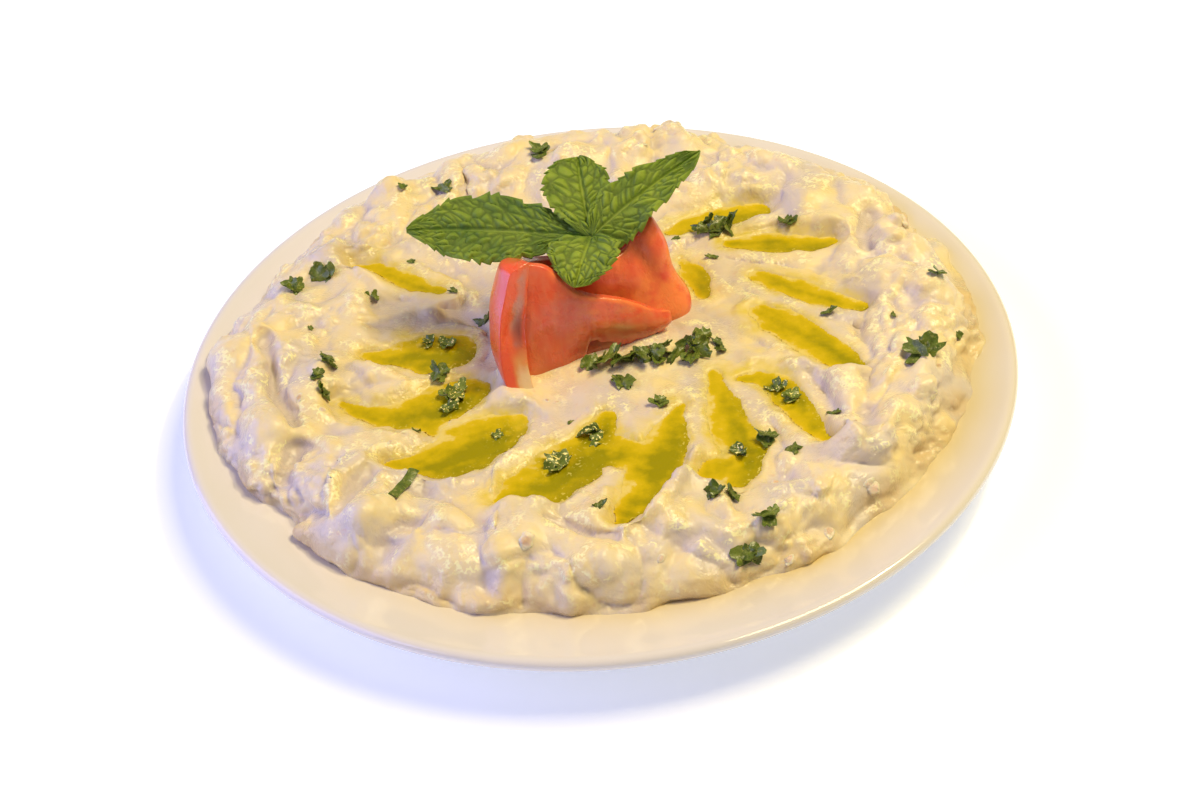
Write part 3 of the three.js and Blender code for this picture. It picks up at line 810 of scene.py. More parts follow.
@dataclass(frozen=True)
class OilFinish:
    """Golden green oil, whose colour deepens with the depth of the pool, with painted shade on each pool's
    lee side and along its banks, darker round the parsley, and painted glints there.
    """

    edge: Colour = (0.77, 0.61, 0.17)
    thin: Colour = (0.66, 0.47, 0.01)
    middle: Colour = (0.57, 0.42, 0.003)
    deep: Colour = (0.32, 0.27, 0.002)
    dark_olive: Colour = (0.13, 0.14, 0.004)
    painted_glint: Colour = (1.0, 0.85, 0.2)
    full_depth: float = 3.6

    def material(self) -> bpy.types.Material:
        """Build the oil.

        Returns:
            The material.
        """
        shader = Shader("golden oil")
        cloud = shader.span(shader.noise(6.0, 4.0, 0.65), 0.3, 0.7, -0.9, 1.0)
        cloud = shader.maths("MULTIPLY", cloud, shader.span(shader.stored("depth"), 0.0, 0.8, 0.3, 1.0))
        depth = shader.maths("ADD", shader.stored("depth"), cloud)
        share = shader.span(depth, 0.0, self.full_depth)
        stops = [(0.0, self.edge), (0.16, self.thin), (0.44, self.middle), (1.0, self.deep)]
        # Darker round the parsley, and painted shade along the lee banks.
        colour = shader.blend(shader.stored("oil_darkening"), shader.ramp(share, stops), self.dark_olive)
        # Painted glints: bright dots round the parsley.
        painted_glints = shader.span(shader.noise(0.9, 1.0), 0.62, 0.68)
        painted_glints = shader.maths("MULTIPLY", painted_glints, shader.stored("oil_darkening"))
        colour = shader.blend(painted_glints, colour, self.painted_glint)
        bump = shader.add("Bump", {"Height": shader.noise(3.2, 4.0), "Distance": 0.0006, "Strength": 0.8})
        shader.set(Base_Color=colour, Roughness=0.1, IOR=1.47, Specular_IOR_Level=0.2)
        shader.set(Normal=bump.outputs["Normal"])
        return shader.material


@dataclass(frozen=True)
class TomatoFinish:
    """Tomato wall: glossy skin outside, wet streaked flesh inside and on the cuts, with painted light on the
    skin and painted shade where it lies in shade.
    """

    skin: Colour = (0.83, 0.1, 0.045)
    skin_lit: Colour = (1.0, 0.26, 0.07)
    flesh: Colour = (0.82, 0.115, 0.035)
    flesh_pale: Colour = (0.85, 0.3, 0.14)
    core: Colour = (0.86, 0.62, 0.36)
    amber: Colour = (0.78, 0.32, 0.1)
    glassy: Colour = (0.6, 0.27, 0.24)
    # Painted shade: the colour laid where the strip is in shade.
    hollow: Colour = (0.26, 0.035, 0.025)

    def material(self) -> bpy.types.Material:
        """Build the tomato.

        Returns:
            The material.
        """
        shader = Shader("tomato wall")
        lit = shader.maths("MULTIPLY", shader.stored("lit"), shader.span(shader.noise(7.0, 3.0), 0.3, 0.7))
        skin = shader.blend(lit, self.skin, self.skin_lit)
        streak_map = shader.add(
            "Mapping", {"Vector": shader.place(), "Scale": (420.0, 420.0, 45.0)}
        ).outputs["Vector"]
        streaks = shader.add("TexNoise", {"Vector": streak_map, "Scale": 1.0, "Detail": 3.0}).outputs["Fac"]
        flesh = shader.blend(shader.span(streaks, 0.42, 0.72, 0.0, 0.42), self.flesh, self.flesh_pale)
        flesh = shader.blend(shader.stored("glassy"), flesh, self.glassy)
        flesh = shader.blend(shader.span(shader.stored("core"), 0.0, 0.5), flesh, self.amber)
        flesh = shader.blend(shader.span(shader.stored("core"), 0.5, 1.0), flesh, self.core)
        colour = shader.blend(shader.stored("flesh"), skin, flesh)
        colour = shader.blend(shader.stored("shade"), colour, self.hollow)
        shader.wet(
            colour,
            Coarse_Scale=260.0,
            Fine_Scale=900.0,
            Patch_Scale=150.0,
            Height=0.0003,
            Roughness=0.2,
            Spread=0.2,
        )
        shader.set(Subsurface_Weight=0.25, Subsurface_Radius=(1.0, 0.25, 0.1), Subsurface_Scale=0.0025)
        shader.set(Coat_Weight=0.55, Coat_Roughness=0.12)
        return shader.material


class LeafKind(Enum):
    """Which leaf a green finish is for."""

    MINT = "mint leaf"
    PARSLEY = "chopped parsley"


@dataclass(frozen=True)
class LeafFinish:
    """Green leaf with patches and a lighter midrib, painted shade in its creases, painted light on its raised
    parts, and painted glints where it is wet.
    """

    kind: LeafKind
    dark: Colour
    light: Colour
    rib: Colour
    # Painted shade in the creases.
    crease: Colour
    roughness: float
    shine: float
    patch: float
    # Share of the stored tone, which holds painted light on raised parts over random tone.
    tone_and_painted_light_share: float
    painted_glint: Colour = (1.0, 0.88, 0.3)

    def material(self) -> bpy.types.Material:
        """Build the leaf.

        Returns:
            The material.
        """
        shader = Shader(self.kind.value)
        patches = shader.span(shader.noise(self.patch, 3.0), 0.35, 0.68)
        share = shader.maths("MULTIPLY", patches, 1.0 - self.tone_and_painted_light_share)
        share = shader.maths("ADD", share, shader.maths("MULTIPLY", shader.stored("top"), self.tone_and_painted_light_share))
        green = shader.blend(share, self.dark, self.light)
        green = shader.blend(shader.stored("crease"), green, self.crease)
        green = shader.blend(shader.stored("rib"), green, self.rib)
        # Painted glints: bright dots where the leaf is wet.
        painted_glints = shader.maths("MULTIPLY", shader.span(shader.noise(0.8, 1.0), 0.6, 0.66), shader.stored("wet"))
        green = shader.blend(painted_glints, green, self.painted_glint)
        fine = shader.noise(0.7, 2.0)
        bump = shader.add("Bump", {"Height": fine, "Distance": 0.0002, "Strength": 0.7})
        rough = shader.span(fine, 0.3, 0.7, self.roughness - 0.08, self.roughness + 0.1)
        shader.set(Base_Color=green, Roughness=rough, Normal=bump.outputs["Normal"])
        shader.set(Specular_IOR_Level=self.shine)
        shader.set(Subsurface_Weight=0.12, Subsurface_Radius=(0.5, 1.0, 0.2), Subsurface_Scale=0.0015)
        return shader.material


@dataclass(frozen=True)
class PulpFinish:
    """Browned and pinkish bits of pulp."""

    brown: Colour = (0.64, 0.43, 0.26)
    pink: Colour = (0.82, 0.6, 0.46)
    cream: Colour = (0.87, 0.75, 0.55)

    def material(self) -> bpy.types.Material:
        """Build the bits.

        Returns:
            The material.
        """
        shader = Shader("browned pulp")
        colour = shader.blend(shader.span(shader.noise(17.0, 1.0), 0.42, 0.58), self.brown, self.pink)
        colour = shader.blend(shader.stored("rim"), colour, self.cream)
        shader.wet(
            colour, Coarse_Scale=600.0, Fine_Scale=1500.0, Height=0.0006, Roughness=0.2, Spread=0.2
        )
        shader.set(Subsurface_Weight=0.3, Subsurface_Radius=(1.0, 0.5, 0.3), Subsurface_Scale=0.002)
        return shader.material


def dress(piece: Piece, material: bpy.types.Material, slot: str, *nodes: str) -> None:
    """Give a piece its material and body, log its slot and hide the solids that it stands for.

    Args:
        piece: The finished piece.
        material: Its material.
        slot: The name of its slot, which is only logged.
        nodes: Names of the solids that it replaces.
    """
    piece.data.materials.clear()
    piece.data.materials.append(material)
    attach(piece, "root")
    if nodes:
        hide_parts(*nodes)
    LOG.info("%s: %d faces, slot %s", piece.name, len(piece.data.polygons), slot)


# ---------------- plate


@dataclass
class PlateWare:
    """Shallow round plate with a foot ring and a rounded lip."""

    radius: float = 125.0
    height: float = 19.0
    wall: float = 4.2
    well_radius: float = 70.0
    well_level: float = 6.5
    slope_end: Pair = (119.0, 17.6)
    foot_inner: float = 60.0
    foot_outer: float = 71.0
    foot_recess: float = 2.4
    foot_slant: float = 2.0
    foot_rise: float = 2.6
    lip: tuple[Pair, ...] = ((1.2, 4.0), (0.0, 2.2), (0.5, 0.7), (1.8, 0.0), (3.4, 0.3))
    sides: int = 144
    film_width: float = 13.0
    film_centre: float = 305.0
    film_turn: float = 75.0
    film_least: float = 0.12
    film_full: float = 0.95

    def top(self, radius: Array) -> Array:
        """Height of the plate's inner surface at a radius."""
        share = (radius - self.well_radius) / (self.slope_end[0] - self.well_radius)
        return np.where(share <= 0, self.well_level, mix(self.well_level, self.slope_end[1], share))

    def profile(self) -> list[Pair]:
        """Corners from the underside's middle to the well's.

        Returns:
            The radius and the height of each.
        """
        underside = self.slope_end[1] - self.wall
        inner_steps = [(self.well_radius * s, self.well_level) for s in (1.0, 0.72, 0.4)]
        slope = [
            (mix(self.slope_end[0], self.well_radius, s), mix(self.slope_end[1], self.well_level, s))
            for s in (0.0, 0.12, 0.28, 0.5, 0.75, 0.97)
        ]
        return [
            (self.foot_inner * 0.5, self.foot_recess),
            (self.foot_inner - self.foot_slant, self.foot_recess),
            (self.foot_inner, 0.0),
            (self.foot_outer, 0.0),
            (self.foot_outer + self.foot_slant, self.foot_rise),
            (mix(self.foot_outer, self.slope_end[0], 0.5), mix(self.foot_rise, underside, 0.5)),
            (self.slope_end[0], underside),
            *[(self.radius - inwards, self.height - down) for inwards, down in self.lip],
            *slope,
            *inner_steps,
        ]

    def build(self, dip: DipForm) -> Piece:
        """Turn the profile ring by ring, close both middles and smooth the corners.

        Args:
            dip: Says where the dip's foot lies, for the film of oil along it.

        Returns:
            The plate.
        """
        corners = self.profile()
        deselect()
        first_radius, first_height = corners[0]
        bpy.ops.mesh.primitive_circle_add(
            vertices=self.sides, radius=first_radius * MM, location=(0, 0, first_height * MM)
        )
        plate = bpy.context.object
        plate.name = plate.data.name = "plate_ware"
        bpy.ops.object.transform_apply(location=True, rotation=True, scale=True)
        edit(everything=True)
        bpy.ops.mesh.extrude_edges_move()
        bpy.ops.mesh.merge(type="CENTER")
        leave_edit()
        ring = np.hypot(*read_points(plate)[:, :2].T) > 1e-6
        edit(Elements.CORNERS, everything=False)
        leave_edit()
        plate.data.vertices.foreach_set("select", ring)
        edit(Elements.EDGES)
        before = corners[0]
        for radius, height in corners[1:]:
            scale = radius / before[0]
            bpy.ops.mesh.extrude_edges_move(
                TRANSFORM_OT_translate={"value": (0, 0, (height - before[1]) * MM)}
            )
            bpy.ops.transform.resize(value=(scale, scale, 1.0), center_override=(0, 0, height * MM))
            before = (radius, height)
        bpy.ops.mesh.extrude_edges_move()
        bpy.ops.mesh.merge(type="CENTER")
        leave_edit()
        face_outwards(plate)
        round_off(plate)
        self.mark_film(plate, dip)
        return plate

    def mark_film(self, plate: Piece, dip: DipForm) -> None:
        """Mark where oil has crept out from under the dip's foot.

        Args:
            plate: The plate.
            dip: Says where the foot lies.
        """
        points = read_points(plate) / MM
        radius = np.hypot(points[:, 0], points[:, 1])
        angle = np.degrees(np.arctan2(points[:, 1], points[:, 0]))
        beyond = radius - dip.reach(angle) - dip.apron(angle)
        centred = bell(turn_between(self.film_centre, angle), self.film_turn)
        strength = np.exp(-np.maximum(beyond, 0.0) / self.film_width) * mix(self.film_least, 1.0, centred)
        on_top = points[:, 2] > self.top(radius) - 1.0
        store(plate, "film", np.where(on_top, self.film_full * strength, 0.0))


# ---------------- dip


@dataclass(frozen=True)
class Pool:
    """A pool of oil: its solid's name and its branches of (x, y, half width)."""

    name: str
    branches: tuple[tuple[Station, ...], ...]
    least_half: float = 0.4

    def distance(self, x: Array, y: Array, wander: Values = 0.0) -> tuple[Array, Array, Array]:
        """How far each place lies outside the pool.

        Args:
            x: Places along X.
            y: Places along Y.
            wander: How far the pool's edge has moved outwards at each place.

        Returns:
            Distance past the half width, distance as a share of it, and the half
            width there.
        """
        away = np.full(x.shape, np.inf)
        share, width = np.full(x.shape, np.inf), np.ones(x.shape)
        for branch in self.branches:
            for start, end in zip(branch, branch[1:]):
                far, along = from_segment(start, end, x, y)
                half = np.maximum(mix(start[2], end[2], along) + wander, self.least_half)
                closer = far - half < away
                share = np.where(closer, far / half, share)
                width = np.where(closer, half, width)
                away = np.where(closer, far - half, away)
        return away, share, width


POOLS = (
    Pool("oil_left_back", (
        ((-70, 9, 0.9), (-63, 7.5, 3.6), (-57, 8, 6.3), (-50, 7, 8.6), (-45, 7, 8.4), (-42, 5, 5)),
    )),
    Pool("oil_left_middle", (
        ((-76, -12, 1.2), (-70, -17.5, 2.9), (-64, -20, 4.2), (-58, -20.5, 5.2), (-51, -19, 6.9),
         (-46, -16, 8.2), (-41, -13.5, 6.8), (-37, -12, 4)),
        ((-52, -22, 3), (-47, -29, 3.4), (-43, -33, 4)),
    )),
    Pool("oil_left_front", (
        ((-62, -41, 1.2), (-57, -42, 3.2), (-51, -42, 5.4), (-46, -41, 8.2), (-39, -37, 9.7),
         (-33, -34, 8.8), (-28, -31, 5.4), (-24, -28, 2)),
    )),
    Pool("oil_front", (
        ((-31, -62, 2.6), (-23, -58, 7), (-17, -55, 9), (-11, -50, 9.4), (-6, -45, 7.6),
         (-1, -37, 4.4), (1.5, -30, 1.6)),
        ((-6, -46, 6.0), (2, -46, 6.6), (8, -48.5, 6.4), (14, -51, 5.6)),
        ((23.5, -29, 0.9), (20, -37, 3.6), (16.5, -44, 6.2), (13.5, -52, 7.4), (10, -61, 6.3),
         (6, -69, 4.3), (2, -76, 1.4)),
    )),
    Pool("oil_right_front", (
        ((34, -16, 1.4), (34.5, -26, 3.4), (35.5, -34, 4.9), (37, -44, 5.6), (38, -52, 5.6),
         (37, -59, 4.8), (36, -63, 2.6)),
        ((36, -55, 4.8), (31, -57, 4.4), (28, -58.5, 2.4)),
    )),
    Pool("oil_right_middle", (
        ((42, -20, 1.0), (47, -20, 2.9), (51, -24, 3.9), (54, -31, 4.6), (57, -38, 3.8),
         (59.5, -44, 3.2), (62.5, -50, 1.6)),
    )),
    Pool("oil_right_lower", (
        ((51, 10, 2.4), (55.5, 4.5, 5.7), (61, -1.5, 6), (66, -8.5, 5.6), (71, -14.5, 4.8), (75, -19.5, 2.2)),
    )),
    Pool("oil_right_streak", (
        ((51, 28, 1.3), (57, 24.5, 3), (63, 20, 4), (70, 15, 3.4), (76, 11, 2.6), (81, 8, 1.2)),
    )),
    Pool("oil_right_upper", (
        ((45, 45, 1.8), (53, 44, 3.9), (61, 42.5, 4.5), (69, 41.5, 3.9), (77, 41, 1.4)),
    )),
    Pool("oil_right_back", (
        ((27, 55, 1.4), (34, 58.5, 3.6), (42, 60, 4.4), (50, 61, 4.3), (57, 62, 2.6)),
    )),
    Pool("oil_by_tomato", (((29.5, 40, 1.4), (32, 35, 3.4), (34, 29, 3.4), (34, 23, 1.5)),)),
    Pool("oil_back_left", (
        ((-73, 52, 1), (-66, 50.5, 2.3), (-60, 45, 3.4), (-53, 39, 3), (-46, 34.5, 1.4)),
    )),
)


@dataclass(frozen=True)
class Fold:
    """A crease or a ridge in the dip: its line, half width and lift."""

    line: tuple[Pair, ...]
    half_width: float
    lift: float


@dataclass(frozen=True)
class Step:
    """A line where the dip on its right stands higher than that on its left."""

    line: tuple[Pair, ...]
    blur: float
    fade: float
    lift: float


@dataclass(frozen=True)
class Knob:
    """One round lump of pulp, or a hollow where the lift is below zero."""

    x: float
    y: float
    radius: float
    lift: float


FOLDS = tuple(Fold(*row) for row in (
    (((-99, 14), (-97, 4.5), (-96, -7.5), (-92.6, -15.7), (-89.4, -23.8)), 2.2, -2.6),
    (((-88.4, -32.7), (-91.9, -38.3), (-92, -45.4), (-88.9, -54.1), (-83.2, -60.8)), 2.2, -2.4),
    (((-75.7, -62.9), (-73.5, -56.3), (-69.6, -49.8), (-64.1, -47.1), (-57, -47.2)), 2.4, -1.9),
    (((-64.2, -79.4), (-62.7, -71.8), (-58, -69.1), (-53.3, -69.8)), 2.6, -2.2),
    (((-18.4, -74.8), (-10.9, -78.2), (-5.8, -83.4), (0.1, -85.4)), 1.4, -1.3),
    (((-59.6, -46.5), (-51.6, -52), (-43.7, -53), (-35.7, -50), (-27.5, -43.3), (-22, -32)), 2.2, 1.5),
    (((-29, -68), (-20.5, -69.5), (-12.7, -68), (-6, -60)), 2.2, 1.3),
    (((2.5, -84), (7.7, -80.6), (14.2, -73.1), (20.5, -62.2), (25.3, -50)), 2.0, 1.9),
    (((48, -44), (44, -56.3), (46.4, -64), (50.9, -67.2)), 3.0, -2.2),
    (((62, -22.5), (64.5, -34.7), (68, -47), (73, -57)), 2.4, -2.0),
    (((79.5, 3.6), (79.3, -9.1), (79.4, -25.5), (74.5, -40.6), (75.2, -52.2)), 3.0, -2.6),
    (((90.5, 51.8), (87.2, 42.9), (86.8, 33.8)), 2.4, -2.4),
    (((49.8, -99.6), (46.2, -91.2), (40.2, -88), (33.6, -90.5)), 2.2, -2.0),
    (((13.5, -94.4), (17.2, -88.1), (23, -85.5), (28.9, -89.8)), 2.2, -1.8),
    (((-43.3, 40.1), (-40.1, 26.3), (-34, 16), (-33, 4.7), (-31, -5.1)), 3.0, -2.0),
    (((-36.7, 96.1), (-36.2, 86.1), (-36.4, 78.7)), 2.4, -2.2),
    (((-29, 6), (-31, -3), (-27, -18), (-20, -24)), 3.2, 1.3),
    (((-67, -2), (-56, -8), (-47, -7)), 3.4, 1.8),
    (((-63, -30), (-52, -31), (-44, -28)), 2.8, 1.4),
    (((44, -10), (54, -14), (62, -20), (70, -27)), 3.0, 1.2),
    (((40, 26), (48, 18), (50, 6)), 2.6, 1.1),
))

STEPS = (
    Step(((-31.5, -106), (-33.4, -91.6), (-34.8, -78.3), (-33.6, -66)), 3.2, 15.0, 6.2),
    Step(((-79.5, -82), (-80.5, -64.9), (-78.5, -55.8)), 2.4, 11.0, 4.4),
    Step(((-66, -91), (-62, -80), (-56, -74)), 2.2, 9.0, 2.6),
)

KNOBS = tuple(Knob(*row) for row in (
    (-102, -5, 6.8, 1.6), (-95.6, -37.5, 5.8, 1.5), (-79.1, -52.3, 5.7, 1.6),
    (-70.2, -68.4, 7.1, 1.8), (-47.2, -68.9, 7.9, 1.2), (-24, -84.1, 5.3, 1.1),
    (-9.6, -95.9, 8.3, 1.3), (-68.9, 17.5, 4.6, 1.3), (-66.2, -5.4, 5, 1.2),
    (-79.1, -33.3, 6, 1.3), (100.1, 45.8, 6.2, 3.4), (84.5, -46, 6.2, 2.2),
    (92.1, -38.2, 4.4, 1.7), (77.2, -75.8, 4.8, 2.1), (50, -97.5, 4.4, 1.9),
    (24.7, -52.6, 3.4, 1.6), (27.9, 48.1, 3.6, 2.0), (51.5, -18, 3.6, 1.0),
    (74.7, -24.5, 4.0, 1.4), (-37.7, 33.5, 4.1, 1.9), (8.8, 101, 5.0, 2.6),
    (-33.8, 91.5, 4.3, 2.0), (-48.5, 24.8, 4.4, 1.3), (28.5, -63, 4.0, 1.5),
    (-1, -63.5, 3.4, 1.6), (-96, 34, 5.4, 1.7), (-62, 88, 5.6, 1.6),
    (58, 82, 5.8, 1.5), (104, 12, 5.2, 1.8), (63, -84, 5.6, 1.7),
    (93, -60, 5.2, 1.8), (71, -62, 4.4, 1.6), (46, -79, 5.2, 1.3),
    (51.8, -30.2, 1.9, 2.4),
))


@dataclass
class DipForm:
    """The form of the spread dip: its foot, crest, spoon marks, lumps and folds."""

    plate: PlateWare
    reach_mean: float = 112.0
    reach_back: float = 7.5
    reach_sides: float = 3.5
    # Dents and aprons of the foot are rows of (direction, push, spread), in degrees and
    # millimetres, and its ripples rows of (count, height, phase).
    dents: tuple[Row, ...] = (
        (208, -5.5, 6), (147, -3.5, 22), (332, -2.2, 16), (180, 1.5, 14), (256, -1.2, 10),
    )
    ripples: tuple[Row, ...] = ((11, 0.8, 0.6), (19, 0.7, 2.1), (31, 0.5, 4.4))
    aprons: tuple[Row, ...] = ((250, 4.2, 9), (262, -1.0, 4), (272, 1.6, 6))
    side_start: float = 0.86
    crest_level: float = 27.3
    crest_back: float = 1.2
    middle_level: float = 23.6
    valley_depth: float = 1.4
    crest_rise: Pair = (0.56, 0.82)
    lump_seed: int = 4127
    lump_count: int = 230
    lump_spread: Pair = (4.5, 10.5)
    lump_lift: Pair = (0.7, 2.4)
    lump_growth: Pair = (0.55, 1.25)
    lump_growth_shares: Pair = (0.5, 0.85)
    lump_fall: float = 1.6
    lump_end: float = 6.0
    hollow_share: float = 0.34
    hollow_depth: float = 0.8
    bank_width: float = 4.6
    bank_lip: float = 0.5
    level_share: float = 0.35
    pool_depth: Pair = (1.2, 0.2)
    edge_swing: Pair = (0.4, 1.5)
    edge_noise: tuple[Row, ...] = ((10.0, 41.0, 1.0), (3.6, 43.0, 0.6))
    lee_step: float = 3.0
    fold_gain: float = 1.45
    fold_width: float = 1.1
    knob_gain: float = 1.15
    knob_round: float = 1.5
    lumps: list[Row] = field(default_factory=list)
    levels: dict[str, float] = field(default_factory=dict)

    def __post_init__(self) -> None:
        """Draw the lumps and settle the level of every pool."""
        self.draw_lumps()
        for pool in POOLS:
            stations = np.array([s for branch in pool.branches for s in branch], float)
            heights = self.spread_height(stations[:, 0], stations[:, 1])
            level = mix(heights.min(), heights.mean(), self.level_share) - self.bank_lip
            self.levels[pool.name] = float(level)

    def reach(self, angle: Array) -> Array:
        """Radius of the dip's foot in a direction.

        Args:
            angle: Directions in degrees from +X.

        Returns:
            The radii.
        """
        turn = np.radians(angle)
        reach = self.reach_mean + self.reach_back * np.sin(turn) + self.reach_sides * np.cos(2 * turn)
        for at, push, spread in self.dents:
            reach = reach + push * bell(turn_between(at, angle), spread)
        for count, height, phase in self.ripples:
            reach = reach + height * np.sin(count * turn + phase)
        return reach

    def apron(self, angle: Array) -> Array:
        """How far thin sauce has run out from under the dip's foot in a direction."""
        parts = [push * bell(turn_between(at, angle), spread) for at, push, spread in self.aprons]
        return np.sum(parts, axis=0)

    def draw_lumps(self) -> None:
        """Draw the soft lumps of pulp as (x, y, spread, lift)."""
        draws = Draws(self.lump_seed)
        for _ in range(self.lump_count):
            angle = 360.0 * draws.next()
            share = math.sqrt(draws.next())
            radius = share * float(self.reach(np.array(angle)))
            spread = draws.between(*self.lump_spread)
            sign = -self.hollow_depth if draws.next() < self.hollow_share else 1.0
            growth = mix(*self.lump_growth, float(smooth_step(*self.lump_growth_shares, share)))
            lift = sign * draws.between(*self.lump_lift) * growth
            turn = math.radians(angle)
            self.lumps.append((radius * math.cos(turn), radius * math.sin(turn), spread, lift))

    def top_height(self, x: Array, y: Array) -> Array:
        """Height of the dip's upper side, before it turns down at the edge.

        Args:
            x: Places along X.
            y: Places along Y.

        Returns:
            The heights.
        """
        radius = np.hypot(x, y)
        angle = np.degrees(np.arctan2(y, x))
        share = radius / self.reach(angle)
        crest = self.crest_level + self.crest_back * np.sin(np.radians(angle)) * share
        valley = self.valley_depth * np.sin(np.pi * np.clip(share / self.crest_rise[1], 0, 1)) ** 2
        top = mix(self.middle_level, crest, smooth_step(*self.crest_rise, share)) - valley
        for lump_x, lump_y, spread, lift in self.lumps:
            away = ((x - lump_x) ** 2 + (y - lump_y) ** 2) / spread**2
            top = top + np.where(away < self.lump_end, lift * np.exp(-away * self.lump_fall), 0.0)
        return top

    def spread_height(self, x: Array, y: Array) -> Array:
        """Height of the dip before the oil's spoon marks are pressed into it.

        Args:
            x: Places along X.
            y: Places along Y.

        Returns:
            The heights.
        """
        radius = np.hypot(x, y)
        share = radius / self.reach(np.degrees(np.arctan2(y, x)))
        down = np.clip((share - self.side_start) / (1 - self.side_start), 0, 1)
        floor = self.plate.top(radius) + GAP
        return floor + (self.top_height(x, y) - floor) * np.sqrt(1 - down * down)

    def features(self, x: Array, y: Array) -> Array:
        """Lift of the named folds, steps and lumps.

        Args:
            x: Places along X.
            y: Places along Y.

        Returns:
            The lifts.
        """
        lift = np.zeros(x.shape)
        for fold in FOLDS:
            away, _ = polyline_distance(fold.line, x, y)
            lift += self.fold_gain * fold.lift * bell(away, self.fold_width * fold.half_width)
        for step in STEPS:
            away, side = polyline_distance(step.line, x, y)
            lift += step.lift * (smooth_step(-step.blur, step.blur, side * away) - 0.5) * np.exp(
                -away / step.fade
            )
        for knob in KNOBS:
            away = ((x - knob.x) ** 2 + (y - knob.y) ** 2) / knob.radius**2
            lift += knob.lift * np.clip(1.0 - away, 0.0, 1.0) ** self.knob_round * self.knob_gain
        return lift

    def pool_wander(self, flat: Array) -> Array:
        """How far the pools' edges swing outwards at each place."""
        return self.edge_swing[0] + self.edge_swing[1] * layered(flat, self.edge_noise)

    def nearest_pool(self, flat: Array) -> Array:
        """Distance to the nearest pool's edge, below zero inside it."""
        wander = self.pool_wander(flat)
        return np.min([pool.distance(flat[:, 0], flat[:, 1], wander)[0] for pool in POOLS], axis=0)

    def lee(self, flat: Array) -> Array:
        """On which side of a pool each place lies.

        Args:
            flat: Places in the ground plane.

        Returns:
            A share for each place, 1 on the near right side and -1 on the far left.
        """
        step = np.array([self.lee_step, -self.lee_step, 0.0])
        change = self.nearest_pool(flat + step) - self.nearest_pool(flat - step)
        return change / (2 * math.hypot(self.lee_step, self.lee_step))

    def with_pools(self, flat: Array, height: Array, slack: Array) -> tuple[Array, Array, Array]:
        """Press the pools' troughs into the dip.

        Args:
            flat: Places in the ground plane.
            height: The dip's height there.
            slack: Small unevenness for the trough's floor.

        Returns:
            The new height, the distance to the nearest pool, and the height that
            holds its oil in.
        """
        x, y = flat[:, 0], flat[:, 1]
        nearest, dam = np.full(x.shape, np.inf), np.full(x.shape, -np.inf)
        wander = self.pool_wander(flat)
        for pool in POOLS:
            away, share, half = pool.distance(x, y, wander)
            level = self.levels[pool.name]
            uneven = slack * smooth_step(0.0, 2.5, np.abs(away))
            lip = level + self.bank_lip * smooth_step(0.0, 1.2, away)
            bank = mix(lip, height, smooth_step(0.0, self.bank_width, away)) + uneven
            depth = self.pool_depth[0] + self.pool_depth[1] * half
            floor = level - depth * (1 - share**2) + uneven
            near = away < self.bank_width
            height = np.where(near, np.where(away < 0, floor, bank), height)
            nearest = np.minimum(nearest, away)
            dam = np.where((away > 0) & near, np.maximum(dam, level + 0.5 * smooth_step(0.0, 1.0, away)), dam)
        return height, nearest, np.where(nearest > 0, dam, -np.inf)


